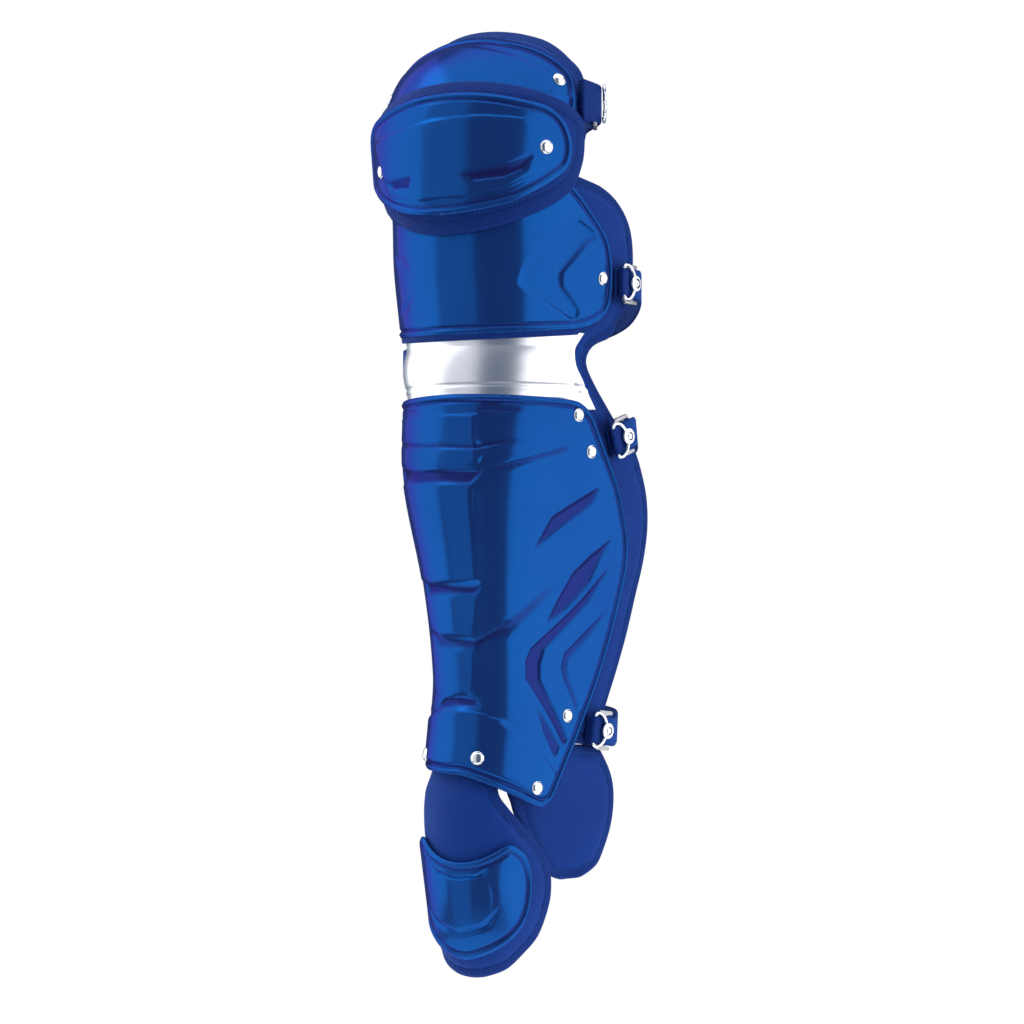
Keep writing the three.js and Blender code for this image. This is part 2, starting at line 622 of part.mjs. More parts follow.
add("leg_pad", panel({
  rows: LEG_PAD_ROWS, layer: PAD, columns: 24, soft: LEG_PAD_SOFT, spread: 1.15, relief: waistHollow,
}), "cloth");
add("shin_shell", panel({ rows: SHIN_SHELL_ROWS, layer: SHELL, columns: 24, arch: 1.35 }), "plastic");
add("waist_band", panel({ rows: BAND_ROWS, layer: BAND, columns: 18, relief: bandSwell }), "silver");
add("upper_shell", panel({ rows: UPPER_SHELL_ROWS, layer: SHELL, columns: 18 }), "plastic");
add("knee_pad", panel({
  rows: KNEE_PAD_ROWS, layer: KNEE_PAD, columns: 16, soft: KNEE_PAD_SOFT, relief: kneePadRelief,
}), "cloth");
add("knee_shell", panel({
  rows: KNEE_SHELL_ROWS, layer: KNEE_SHELL, columns: 16, relief: kneeRelief,
}), "plastic");
add("thigh_pad", panel({
  rows: THIGH_PAD_ROWS, layer: THIGH_PAD, columns: 14, soft: THIGH_PAD_SOFT,
}), "cloth");
add("thigh_shell", panel({ rows: THIGH_SHELL_ROWS, layer: SHELL, columns: 14 }), "plastic");
add("foot_pad", panel({
  form: FOOT_FORM, rows: FOOT_PAD_ROWS, layer: FOOT_PAD, columns: 12, soft: FOOT_PAD_SOFT,
}), "cloth");
add("foot_shell", panel({
  form: FOOT_FORM, rows: FOOT_SHELL_ROWS, layer: FOOT_SHELL, columns: 14,
}), "plastic");
add("ankle_pad_right", anklePad(1), "cloth");
add("ankle_pad_left", anklePad(-1), "cloth");

RIVETS.forEach((rivet) => {
  const { geometry, position, turn } = rivetHead(rivet);
  const mesh = add(`rivet_${rivet.name}`, geometry, "steel");
  mesh.position.copy(position);
  mesh.quaternion.copy(turn);
});

CLIPS.forEach((clip, i) => {
  const { matrix } = clipFrame(clip);
  add(`tab_${clip.name}`, tab(clip), "webbing");
  add(`strap_${clip.name}`, strap(clip, STRAPS[i]), "webbing");
  add(`loop_${clip.name}`, loopFrame(), "steel").applyMatrix4(matrix);
  add(`hook_${clip.name}`, hook(), "steel").applyMatrix4(matrix);
});

export default guard;
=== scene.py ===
"""Looks of a catcher's leg guard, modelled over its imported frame."""

import math

import bpy
import numpy as np
from mathutils import Matrix, Vector


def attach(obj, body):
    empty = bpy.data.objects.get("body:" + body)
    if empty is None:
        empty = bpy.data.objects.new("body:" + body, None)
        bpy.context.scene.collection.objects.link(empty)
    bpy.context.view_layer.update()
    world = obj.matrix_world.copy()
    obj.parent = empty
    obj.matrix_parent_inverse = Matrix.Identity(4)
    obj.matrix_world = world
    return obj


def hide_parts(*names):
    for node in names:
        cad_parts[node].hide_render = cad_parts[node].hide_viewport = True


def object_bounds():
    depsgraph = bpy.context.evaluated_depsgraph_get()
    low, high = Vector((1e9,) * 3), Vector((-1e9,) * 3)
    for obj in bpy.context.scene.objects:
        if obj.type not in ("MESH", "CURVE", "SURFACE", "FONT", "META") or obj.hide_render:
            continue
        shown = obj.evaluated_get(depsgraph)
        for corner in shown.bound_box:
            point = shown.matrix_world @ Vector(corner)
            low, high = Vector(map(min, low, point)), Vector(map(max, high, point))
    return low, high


bl_info = {
    "name": "Leg Guard",
    "version": (1, 0, 0),
    "blender": (4, 5, 0),
    "location": "View3D > Sidebar > Leg Guard",
    "description": "Shells, pads, band, rivets, straps and hooks of a catcher's leg guard",
    "category": "Object",
}

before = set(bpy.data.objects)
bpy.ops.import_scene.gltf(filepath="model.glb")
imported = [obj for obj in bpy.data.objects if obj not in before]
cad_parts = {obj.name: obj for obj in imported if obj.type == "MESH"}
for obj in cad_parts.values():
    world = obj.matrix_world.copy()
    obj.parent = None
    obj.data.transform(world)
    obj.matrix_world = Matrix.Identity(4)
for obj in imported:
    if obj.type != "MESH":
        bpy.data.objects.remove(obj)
CAD_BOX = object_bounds()
MM = 0.001


# Tables, in millimetres

def table(columns, *rows):
    """Rows of numbers under named columns; what a row leaves out is nought."""
    names = columns.split()
    return {
        name: np.array([row[i] if i < len(row) else 0 for row in rows], float)
        for i, name in enumerate(names)
    }


# The form of the leg: how far the front stands before the axis, and how tightly it is bent
LEG_FORM = table(
    "z front radius",
    (-300, 70, 44), (-260, 70, 44), (-224, 66.5, 43), (-190, 60, 43), (-160, 58, 42),
    (-100, 66, 47), (-28, 80, 60), (23, 75, 66), (63, 73, 70), (115, 80, 73), (150, 82, 73),
    (187, 84, 76), (215, 85, 81), (229, 80, 78.5), (243, 72, 75), (256, 60, 69), (264, 50, 62),
    (272, 40, 54), (300, 26, 46),
)
FOOT_FORM = table(
    "z front radius",
    (-362, 53.5, 30), (-340, 60.5, 34), (-320, 65, 36), (-300, 68, 38.5), (-280, 69, 41.5),
    (-260, 69.5, 44.5), (-240, 68, 46), (-224, 62, 42), (-190, 55, 40),
)
FRONT_BEND = math.radians(62)
FLANK_RADIUS = 380

# Outlines, bottom row first: heights at the middle and at the right-hand end, the reach round
# to each side, how much higher the left-hand end lies, and how far the middle is shifted
ROW = "mid end reach lift shift"
SHIN_SHELL = table(
    ROW,
    (-223, -247, 61, 24), (-214, -243, 69, 21), (-201, -231, 76, 14), (-186, -212, 85, 7),
    (-170, -190, 95), (-150, -165, 108), (-128, -141, 120), (-106, -114, 132), (-85, -90, 141),
    (-66, -70, 143), (-49, -52, 140), (-30, -33, 134), (-12, -14, 123), (4, 3, 112),
    (16, 15, 104), (27, 24, 93),
)
LEG_PAD = table(
    ROW,
    (-200, -210, 110), (-190, -200, 117), (-175, -184, 121), (-153, -160, 133),
    (-129, -134, 146), (-106, -109, 157), (-84, -86, 167), (-62, -63, 173), (-40, -41, 172),
    (-20, -21, 164), (-4, -5, 153), (10, 9, 138), (24, 22, 125), (38, 36, 112), (52, 50, 103),
    (62, 61, 109), (71, 68, 125), (82, 78, 133), (100, 98, 143), (122, 120, 148),
    (142, 141, 146), (158, 156, 136), (170, 166, 120), (178, 171, 98),
)
BAND = table(
    ROW,
    (15, 18, 110), (29, 30, 101), (37, 38, 94), (46, 46, 88), (54, 53, 87), (60, 59, 89),
    (72, 69, 97),
)
UPPER_SHELL = table(
    ROW,
    (65.5, 70, 86), (70, 74, 101), (79, 83, 115), (94, 98, 121), (113, 116, 122),
    (131, 133, 118), (148, 147, 106), (161, 158, 95), (172, 168, 84),
)
KNEE_PAD = table(
    ROW,
    (129, 138, 47, 5), (136, 148, 68, 4), (148, 161, 85, 3), (164, 177, 93, 2), (181, 191, 95),
    (199, 203, 94), (216, 210, 88), (228, 216, 76),
)
KNEE_SHELL = table(
    ROW,
    (141, 149, 46, 3), (147, 160, 63, 2), (158, 171, 76), (172, 182, 80), (186, 193, 79),
    (200, 203, 74), (213, 210, 64), (219, 213, 50),
)
THIGH_PAD = table(
    ROW,
    (180, 177, 92), (196, 195, 98), (210, 209, 101), (224, 223, 101), (237, 235, 98),
    (247, 244, 91), (256, 251, 82, 1.5, -2), (263, 258, 72, 3, -4), (269, 265, 58, 3, -6),
    (273, 270, 38, 1, -7),
)
THIGH_SHELL = table(
    ROW,
    (190, 190, 86), (203, 203, 89), (215, 214, 90), (227, 225, 89), (239, 236, 83),
    (249, 244, 75, 0, -2), (257, 251, 63, 1.5, -3), (262, 257, 48, 2.5, -4),
    (266, 262, 29, 1, -5),
)
FOOT_PAD = table(
    ROW,
    (-359, -358, 12), (-356, -353, 30), (-348, -344, 45), (-337, -334, 58),
    (-322, -320, 66, 0, 1), (-307, -306, 70, 0, 2), (-291, -291, 70, 0, 2),
    (-276, -277, 66, 0, 0.5), (-264, -265, 59, 0, -3), (-253, -254, 51, 0, -5.5),
    (-243, -244, 44, 0, -8.5), (-233, -234, 38, 0, -11), (-219, -220, 35, 0, -10),
    (-201.5, -204.5, 36, 0, -6),
)
FOOT_SHELL = table(
    ROW,
    (-345, -344, 8), (-341, -338, 22), (-333, -328, 38), (-321, -316, 48), (-308, -302, 52),
    (-296, -288, 52), (-287, -275, 47), (-279, -264, 36),
)
# The ankle pads' near and far edges, the heights there, and how far the near edge is sunk
ANKLE_PAD = table(
    "near nearLeft far nearZ farZ sink",
    (87, 89, 105, -299, -298, 6), (76, 77, 119, -293, -292, 6.5), (65, 68, 127, -281, -281, 7),
    (57, 61, 134, -267, -267, 7), (50, 57, 137, -254, -253, 6.5), (43, 55, 136, -243, -239, 5),
    (36, 53, 130, -230, -226, 2.5), (34, 53, 117, -201.6, -210.2, 0),
)
ANKLE_SINK_ENDS = (0.15, 0.85)
RIVETS = (
    ("thigh_right", 74, 231, "shell"), ("thigh_left", -74, 231, "shell"),
    ("knee_right", 62, 183, "cup"), ("knee_left", -50, 176, "cup"),
    ("upper_right", 112, 105, "shell"), ("upper_left", -112, 105, "shell"),
    ("shin_top_right", 91, 14, "shell"), ("shin_top_left", -91, 14, "shell"),
    ("shin_side_right", 105, -10, "shell"), ("shin_side_left", -105, -10, "shell"),
    ("shin_low_right", 78, -187, "shell"), ("shin_low_left", -78, -187, "shell"),
    ("collar_right", 55, -232, "shell"), ("collar_front", 12, -211, "shell"),
    ("collar_left", -38, -213, "shell"),
)
CLIPS = (
    dict(name="thigh", x=73, y=-11, z=219, facing=114, lean=0, tab=94, height=28),
    dict(name="knee", x=88, y=10, z=103, facing=80, lean=0, tab=126, height=20),
    dict(name="calf", x=82, y=13, z=1, facing=73, lean=18, tab=123, height=26),
    dict(name="ankle", x=64, y=19, z=-199, facing=73, lean=-9, tab=99, height=20),
)
LOOPS = (
    dict(half=58, middle=-6, depth=62, end=93, edge=101, bulge=5, z=215),
    dict(half=84, middle=26, depth=62, end=96, edge=103, bulge=2, z=54),
    dict(half=80, middle=30, depth=60, end=125, edge=145, bulge=0, z=1),
    dict(half=66, middle=30, depth=56, end=100, edge=117, bulge=0, z=-197),
)

# Moulded relief, as places round the leg and up it: pockets are let in and painted darker as shade,
# hollows are let in, plates stand out, creases are thin valleys with painted shade along them
# (ridges where their size is negative) and folds are sharp ridges along a line, longer on its
# left-hand side
SHIN_RELIEF = (
    ("plate", 0.7, 2.0, ((-62, 14), (-60, -20), (20, -21), (27, -8), (17, -2), (16, 14))),
    ("plate", 0.8, 2.0, ((-60, -31), (-48, -97), (13, -97), (15, -36), (21, -29), (10, -31))),
    ("plate", 0.9, 2.5, ((-40, -106), (-38, -131), (8, -134), (14, -105))),
    ("plate", 0.9, 3.0, ((-36, -140), (-32, -172), (6, -171), (9, -140))),
    ("fold", 1.5, 15, ((18, -20), (17, -4), (16, 15))),
    ("fold", 1.6, 16, ((13, -97), (15, -70), (18, -33))),
    ("fold", 1.3, 15, ((7, -172), (8, -137), (14, -104))),
    ("pocket_shade", 2.4, 2.2, ((117, -32), (94, -42), (71, -53), (60, -67), (53, -76), (81, -59),
                          (106, -46))),
    ("pocket_shade", 2.4, 2.2, ((128, -67), (104, -79), (86, -91), (72, -108), (60, -125),
                          (79, -116), (101, -99), (115, -80))),
    ("pocket_shade", 2.0, 2.0, ((-60, -22), (24, -23), (15, -32), (-30, -31), (-52, -29))),
    ("pocket_shade", 1.8, 2.0, ((-36, -98), (-33, -105), (11, -104), (15, -98))),
    ("pocket_shade", 1.8, 2.0, ((-30, -183), (-18, -174), (-5, -172), (7, -173), (11, -179),
                          (-8, -179), (-22, -181))),
    ("pocket_shade", 0.9, 1.5, ((17, 24), (36, 24), (32, 18), (20, 18))),
    ("pocket_shade", 1.9, 1.5, ((126, -84), (92, -110), (47, -140), (42, -148), (42, -161), (60, -184),
                          (77, -207), (80, -203), (66, -181), (54, -162), (54, -152), (58, -142),
                          (98, -113))),
    ("pocket_shade", 1.5, 1.6, ((46, -170), (52, -180), (74, -207), (70, -215), (58, -196))),
    ("crease", 1.5, 1.4, ((-64, -3), (-56, -5), (17, -8), (38, -4), (56, -3))),
    ("crease", 1.7, 1.4, ((88, -7), (58, -15), (31, -22), (22, -27))),
    ("crease", 0.8, 1.4, ((-60, 16), (-54, 18), (-28, 17))),
    ("crease", 0.8, 1.3, ((20, 17), (36, 16), (48, 17))),
    ("crease", 1.3, 3.2, ((-34, -130), (-22, -137), (8, -137), (16, -133), (34, -124),
                          (60, -105), (78, -93))),
    ("pocket_shade", 1.3, 1.3, ((124, -113), (94, -132), (75, -145), (72, -154), (75, -165), (86, -184),
                          (88, -181), (79, -163), (77, -155), (79, -149), (96, -137))),
    ("plate", 1.6, 2.0, ((-70, -205), (-48, -190), (-28, -183), (-5, -180), (10, -181), (25, -186),
                         (47, -201), (60, -212), (74, -226), (76, -256), (-76, -256))),
    ("crease", 0.8, 2.2, ((-64, -10), (-58, -60), (-46, -110), (-40, -165))),
)
UPPER_RELIEF = (
    ("hollow", 2.2, 2.3, ((92, 143), (74, 133), (59, 121), (48, 104), (46, 98), (66, 85),
                          (88, 73), (90, 84), (77, 97), (77, 105), (98, 126), (110, 134))),
    ("crease", 0.9, 1.5, ((111, 134), (98, 127), (76, 106), (76, 97), (89, 85))),
    ("hollow", 1.0, 2.6, ((-62, 124), (-44, 120), (-34, 107), (-52, 112))),
    ("hollow", 1.0, 2.6, ((-62, 82), (-46, 82), (-33, 94), (-50, 90))),
)
KNEE_RELIEF = (
    ("plate", 1.2, 1.8, ((-60, 196), (-30, 199), (-2, 202), (26, 203), (52, 201), (64, 192),
                         (66, 180), (60, 168), (40, 157), (16, 151), (-14, 151), (-40, 158))),
    ("pocket_shade", 2.2, 2.0, ((-48, 172), (-38, 168), (-18, 168), (-21, 160), (-36, 162))),
    ("pocket_shade", 1.8, 3.0, ((14, 166), (26, 169), (40, 172), (54, 178), (50, 168), (38, 162),
                          (20, 160))),
    ("crease", 0.7, 2.0, ((-30, 150), (0, 147), (26, 149), (48, 157))),
)
THIGH_RELIEF = (
    ("plate", 1.1, 2.0, ((-78, 226), (-62, 247), (-34, 256), (2, 258), (40, 247), (62, 236),
                         (70, 222), (72, 206), (-76, 206))),
)
FOOT_RELIEF = (
    ("hollow", 1.5, 1.6, ((-30, -279), (-15, -286), (-1, -288), (14, -286), (27, -276),
                          (18, -288), (0, -291.5), (-14, -289.5))),
    ("hollow", 1.6, 1.6, ((-36, -306), (-21, -319), (-2, -325), (15, -320), (27, -308),
                          (20, -322), (0, -329), (-21, -323))),
    ("crease", 0.5, 1.4, ((22, -289), (24, -300), (22, -320))),
)


# The form and what is wrapped on it

def curve(start, end, start_slope, end_slope, t):
    """A smooth curve between two values with a slope at each end, over a share t of the way."""
    rise = end - start
    bend = start_slope + end_slope - 2 * rise
    return start + t * (start_slope + t * (rise - start_slope - bend + t * bend))


def at_row(column, at):
    """A column's value between its rows."""
    last = len(column) - 1
    row = np.clip(np.floor(at).astype(int), 0, last - 1)

    def value(index):
        return column[np.clip(index, 0, last)]

    start_slope = (value(row + 1) - value(row - 1)) / 2
    end_slope = (value(row + 2) - value(row)) / 2
    return curve(value(row), value(row + 1), start_slope, end_slope, at - row)


def at_height(form, z, name):
    """A column of a form at a height."""
    heights, column = form["z"], form[name]
    last = len(heights) - 1
    row = np.clip(np.searchsorted(heights, z, side="right") - 1, 0, last - 1)
    step = heights[row + 1] - heights[row]

    def slope(index):
        before, after = np.maximum(index - 1, 0), np.minimum(index + 1, last)
        return (column[after] - column[before]) / (heights[after] - heights[before])

    t = np.clip((z - heights[row]) / step, 0, 1)
    return curve(column[row], column[row + 1], slope(row) * step, slope(row + 1) * step, t)


def on_form(form, around, z, outward):
    """Points of the form, in millimetres, at places round the front, heights and offsets."""
    around, z, outward = np.broadcast_arrays(
        np.asarray(around, float), np.asarray(z, float), np.asarray(outward, float))
    radius = at_height(form, z, "radius")
    front = at_height(form, z, "front")
    distance = np.abs(around)
    bent = radius * FRONT_BEND
    on_front = distance <= bent
    angle = np.where(on_front, distance / radius, FRONT_BEND + (distance - bent) / FLANK_RADIUS)
    sweep = np.where(on_front, radius, FLANK_RADIUS)
    flank = radius - FLANK_RADIUS
    centre_x = np.where(on_front, 0, flank * math.sin(FRONT_BEND))
    centre_y = radius - front - np.where(on_front, 0, flank * math.cos(FRONT_BEND))
    x = centre_x + (sweep + outward) * np.sin(angle)
    y = centre_y - (sweep + outward) * np.cos(angle)
    return np.stack([np.where(around < 0, -x, x), y, z], axis=-1)


def panel_place(rows, arch=2.0, spread=1.0):
    """A panel's map from shares across and along it to places round the leg and up it."""
    last = len(rows["mid"]) - 1

    def place(across, along):
        at = along * last
        signed = 2 * across - 1
        share = np.abs(signed) ** spread
        mid = at_row(rows["mid"], at)
        end = at_row(rows["end"], at) + np.where(signed < 0, at_row(rows["lift"], at), 0)
        around = np.sign(signed) * share * at_row(rows["reach"], at) + at_row(rows["shift"], at)
        return around, mid + (end - mid) * share ** arch

    return place


def ankle_sink(places):
    """How far an ankle pad is sunk, to pass behind the foot pad."""
    around, z = np.abs(places[:, 0]), places[:, 1]
    rows = np.interp(z, ANKLE_PAD["nearZ"], np.arange(len(ANKLE_PAD["nearZ"])))
    right = places[:, 0] > 0
    near = np.where(right, at_row(ANKLE_PAD["near"], rows), at_row(ANKLE_PAD["nearLeft"], rows))
    share = (around - near) / (at_row(ANKLE_PAD["far"], rows) - near)
    return at_row(ANKLE_PAD["sink"], rows) * (1 - ease(share, *ANKLE_SINK_ENDS))


def ankle_place(side):
    """The same map for an ankle pad."""
    last = len(ANKLE_PAD["near"]) - 1

    def place(across, along):
        at = along * last
        share = across if side > 0 else 1 - across
        near = at_row(ANKLE_PAD["near" if side > 0 else "nearLeft"], at)
        far = at_row(ANKLE_PAD["far"], at)
        low, high = at_row(ANKLE_PAD["nearZ"], at), at_row(ANKLE_PAD["farZ"], at)
        return side * (near + (far - near) * share), low + (high - low) * share

    return place


def with_corners(place, power, top=True):
    """The same map with its corners rounded: the higher the power, the tighter the rounding."""
    def rounded_place(across, along):
        u, v = 2 * across - 1, 2 * along - 1
        pull = (np.abs(u) * np.abs(v)) ** power / (2 * power + 1)
        if not top:
            pull = np.where(v < 0, pull, 0)
        return place((u * (1 - pull) + 1) / 2, (v * (1 - pull) + 1) / 2)

    return rounded_place


def outline_of(place, steps=70):
    """The closed outline of a map, as places round the leg and up it."""
    t = np.linspace(0, 1, steps)
    none, all_ = np.zeros(steps), np.ones(steps)
    sides = [place(t, none), place(all_, t), place(1 - t, all_), place(none, 1 - t)]
    line = np.concatenate([np.stack(side, axis=-1) for side in sides])
    keep = np.append(True, np.hypot(*np.diff(line, axis=0).T) > 0.05)
    return line[keep]


def measure(places, line):
    """For each place: its distance from a line, how far along the line that is, and its side."""
    gap = np.full(len(places), 1e9)
    run = np.zeros(len(places))
    side = np.zeros(len(places))
    covered = 0
    for start, end in zip(line[:-1], line[1:]):
        step = end - start
        length = math.hypot(*step)
        if length < 1e-6:
            continue
        rest = places - start
        t = np.clip((rest @ step) / length ** 2, 0, 1)
        away = np.hypot(rest[:, 0] - t * step[0], rest[:, 1] - t * step[1])
        closer = away < gap
        gap[closer] = away[closer]
        run[closer] = covered + t[closer] * length
        side[closer] = np.sign(step[0] * rest[closer, 1] - step[1] * rest[closer, 0])
        covered += length
    return gap, run, side


def inside(places, shape):
    """Which places lie inside a closed shape."""
    found = np.zeros(len(places), bool)
    for start, end in zip(shape, np.roll(shape, -1, axis=0)):
        crosses = (start[1] > places[:, 1]) != (end[1] > places[:, 1])
        rise = end[1] - start[1] if end[1] != start[1] else 1e-9
        at = start[0] + (places[:, 1] - start[1]) * (end[0] - start[0]) / rise
        found ^= crosses & (places[:, 0] < at)
    return found


def ease(value, low, high):
    """Nought below low, one above high, and smooth between."""
    t = np.clip((value - low) / (high - low), 0, 1)
    return t * t * (3 - 2 * t)


def bump(value, centre, width):
    """A soft bump, one high."""
    return np.exp(-((value - centre) / width) ** 2)


def moulded(places, features):
    """The height of moulded relief at places, and how much painted shade each one gets, more the
    deeper it lies in pockets and along crease valleys.
    """
    height = np.zeros(len(places))
    sunk = np.zeros(len(places))
    for kind, size, soft, points in features:
        shape = np.array(points, float)
        if kind == "crease":
            gap, run, _ = measure(places, shape)
            total = np.sum(np.hypot(*np.diff(shape, axis=0).T))
            taper = ease(run, 0, 0.12 * total + 0.1) * (1 - ease(run, 0.7 * total, total))
            height -= size * bump(gap, 0, soft) * (0.25 + 0.75 * taper)
            # Painted shade along the crease's valley
            dark = min(0.9, 0.6 * size)
            sunk = np.maximum(sunk, dark * bump(gap, 0, 0.8 * soft) * taper)
            continue
        if kind == "fold":
            gap, run, side = measure(places, shape)
            total = np.sum(np.hypot(*np.diff(shape, axis=0).T))
            ends = ease(run, 0, 3) * (1 - ease(run, total - 3, total))
            reach = np.where(side > 0, soft, 0.4 * soft)
            height += size * ends * np.clip(1 - gap / reach, 0, 1) ** 1.6
            continue
        gap, _, _ = measure(places, np.vstack([shape, shape[:1]]))
        share = ease(np.where(inside(places, shape), gap, -gap), -0.25 * soft, soft)
        height += size * share * (1 if kind == "plate" else -1)
        # Pockets are painted darker as shade, the deeper the darker
        if kind == "pocket_shade":
            sunk = np.maximum(sunk, share * min(1, size / 1.7))
    return height, sunk


# Meshes

def deselect():
    """Leaves nothing selected, in object mode."""
    if bpy.context.object and bpy.context.object.mode != "OBJECT":
        bpy.ops.object.mode_set(mode="OBJECT")
    bpy.ops.object.select_all(action="DESELECT")


def pick(piece):
    """Selects one piece alone."""
    deselect()
    piece.select_set(True)
    bpy.context.view_layer.objects.active = piece


def coordinates(piece):
    """A piece's points as an array."""
    values = np.zeros(len(piece.data.vertices) * 3)
    piece.data.vertices.foreach_get("co", values)
    return values.reshape(-1, 3)


def reshape(piece, points):
    """Puts a piece's points in new places, in metres."""
    piece.data.vertices.foreach_set("co", np.asarray(points, float).ravel())
    piece.data.update()


def mark(piece, name, values):
    """Keeps a number, or three, on each point for the materials."""
    kind = "FLOAT_VECTOR" if values.ndim == 2 else "FLOAT"
    attribute = piece.data.attributes.new(name, kind, "POINT")
    field = "vector" if values.ndim == 2 else "value"
    attribute.data.foreach_set(field, values.astype(np.float32).ravel())


def slab(name, columns, rows):
    """A unit square grid, extruded to a closed slab one unit thick."""
    deselect()
    bpy.ops.mesh.primitive_grid_add(
        x_subdivisions=columns, y_subdivisions=rows, size=1, location=(0.5, 0.5, 0))
    piece = bpy.context.object
    piece.name = piece.data.name = name
    bpy.ops.object.transform_apply(location=True, rotation=False, scale=False)
    bpy.ops.object.mode_set(mode="EDIT")
    bpy.ops.mesh.select_all(action="SELECT")
    bpy.ops.mesh.extrude_region_move(TRANSFORM_OT_translate={"value": (0, 0, 1)})
    bpy.ops.mesh.select_all(action="SELECT")
    bpy.ops.mesh.normals_make_consistent(inside=False)
    bpy.ops.object.mode_set(mode="OBJECT")
    return piece


RIM_STEPS = (0, 0.12, 0.4, 0.8, 1.3, 1.9, 2.5, 3.1, 3.8, 4.5, 5.2, 6.0, 7.0)


def crowded(share, count, span):
    """Moves evenly spaced grid lines towards both ends, so that a rim gets enough of them."""
    near = np.array(RIM_STEPS) / span
    middle = np.linspace(near[-1], 1 - near[-1], count + 1 - 2 * (len(near) - 1))
    lines = np.concatenate([near[:-1], middle, (1 - near[:-1])[::-1]])
    return np.interp(share * count, np.arange(count + 1), lines)


def wrap(name, place, form, grid, span, outer, inner):
    """A closed shell or pad on the form: outer and inner give the offsets of its two faces."""
    columns, rows = grid
    piece = slab(name, columns, rows)
    co = coordinates(piece)
    across = crowded(co[:, 0], columns, span[0])
    along = crowded(co[:, 1], rows, span[1])
    around, z = place(across, along)
    places = np.stack([around, z], axis=-1)
    gap, run, _ = measure(places, outline_of(place))
    top = co[:, 2] > 0.5
    high, sunk = outer(places, gap)
    outward = np.where(top, high, inner(places, gap))
    reshape(piece, on_form(form, around, z, outward) * MM)
    mark(piece, "guard_place", np.stack([around, z, top.astype(float)], axis=-1))
    # On the outer face the third number is the amount of painted shade
    mark(piece, "guard_edge", np.stack([gap, run, np.where(top, sunk, 0)], axis=-1))
    pick(piece)
    bpy.ops.object.shade_smooth()
    return piece


def finish_piece(piece, material, nodes=()):
    """Gives a piece its material and its body, and says which solids it stands for."""
    piece.data.materials.clear()
    piece.data.materials.append(material)
    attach(piece, "root")
    if nodes:
        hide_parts(*nodes)
    return piece


# Faces of shells and pads

SHELL_THICKNESS = 2.6
RIM_ROUND = 1.2
KNEE_SHELL_BOTTOM = 5.6
KNEE_CROWN = dict(rise=4, z=180, half_height=46, half_width=130)
WAIST = dict(bottom=-1, top=89, fade=9, depth=3.7)
BAND_SWELL = dict(rise=2.8, z=44.5, half_height=14.5)
BOUND_WIDTH = 6.5
BOUND_HALF = 2.7


def rounded(gap, radius, depth):
    """How far a face falls back towards an edge that is rounded."""
    t = np.clip(1 - gap / radius, 0, 1)
    return depth * (1 - np.sqrt(1 - t * t))


def kneecap(places):
    """How far the knee shell bulges."""
    crown = KNEE_CROWN
    wide = np.clip(1 - (places[:, 0] / crown["half_width"]) ** 2, 0, None)
    tall = np.clip(1 - ((places[:, 1] - crown["z"]) / crown["half_height"]) ** 2, 0, None)
    return crown["rise"] * wide * tall


def shell_faces(bottom, features, crown=None):
    """Outer and inner face of a moulded shell whose inner face lies at an offset."""
    def outer(places, gap):
        relief, sunk = moulded(places, features)
        rim = 0.7 * bump(gap, 2.6, 1.0) - 1.1 * bump(gap, 5.0, 0.9)
        # The groove inside the rim is painted darker as shade too
        sunk = np.maximum(sunk, 0.8 * bump(gap, 5.0, 1.0))
        relief = relief * ease(gap, 5.5, 8.5) - rounded(gap, RIM_ROUND, SHELL_THICKNESS / 2)
        lift = crown(places) if crown else 0
        return bottom + SHELL_THICKNESS + lift + rim + relief, sunk

    def inner(places, gap):
        lift = crown(places) if crown else 0
        relief = np.minimum(moulded(places, features)[0] * ease(gap, 5.5, 8.5), 0)
        return bottom + lift + relief * 0.2 + rounded(gap, RIM_ROUND, SHELL_THICKNESS / 2) * 0.9

    return outer, inner


def pad_faces(low, high, press=None):
    """Outer and inner face of a pad with a bound and stitched edge; press lets its face in."""
    edge = high - 0.8
    bound, edge_half = BOUND_WIDTH, BOUND_HALF

    def outer(places, gap):
        push = press(places) if press else 0
        roll = edge - rounded(gap, edge_half, edge_half)
        body = high - rounded(gap - bound, 7.0, 1.5)
        face = np.where(gap < bound, roll, body) - 0.8 * bump(gap, bound, 0.7)
        return face - push, np.zeros(len(places))

    def inner(places, gap):
        push = press(places) if press else 0
        channels = 1.1 * bump((places[:, 1] + 400) % 46, 23, 2.2) * ease(gap, bound, bound + 6)
        back = edge - 2 * edge_half
        roll = back + rounded(gap, edge_half, edge_half) - push
        body = low + rounded(gap - bound, 9.0, back - low)
        face = np.where(gap < bound, np.maximum(roll, low), body) + 0.6 * bump(gap, bound, 0.7)
        return face + channels

    return outer, inner


def waist_press(places):
    """How far the pad is pressed in behind the waist band."""
    z = places[:, 1]
    low = ease(z, WAIST["bottom"], WAIST["bottom"] + WAIST["fade"])
    high = ease(z, WAIST["top"] - WAIST["fade"], WAIST["top"])
    return WAIST["depth"] * low * (1 - high)


# Materials

class Value:
    """A socket of a shader, on which sums are written as plain expressions."""

    def __init__(self, tree, socket):
        self.tree = tree
        self.socket = socket

    def math(self, operation, *others):
        inputs = {i: value for i, value in enumerate((self, *others))}
        return self.tree.node("ShaderNodeMath", {"operation": operation}, inputs)

    def __add__(self, other):
        return self.math("ADD", other)

    def __mul__(self, other):
        return self.math("MULTIPLY", other)

    def __sub__(self, other):
        return self.math("SUBTRACT", other)

    def __truediv__(self, other):
        return self.math("DIVIDE", other)

    def __rsub__(self, other):
        return (self * -1) + other

    __radd__ = __add__
    __rmul__ = __mul__

    def band(self, low, high):
        """One between two values, nought outside."""
        return self.math("GREATER_THAN", low) * self.math("LESS_THAN", high)

    def ease(self, low, high):
        """A smooth step from nought to one."""
        settings = {"interpolation_type": "SMOOTHSTEP"}
        return self.tree.node("ShaderNodeMapRange", settings, {0: self, 1: low, 2: high})


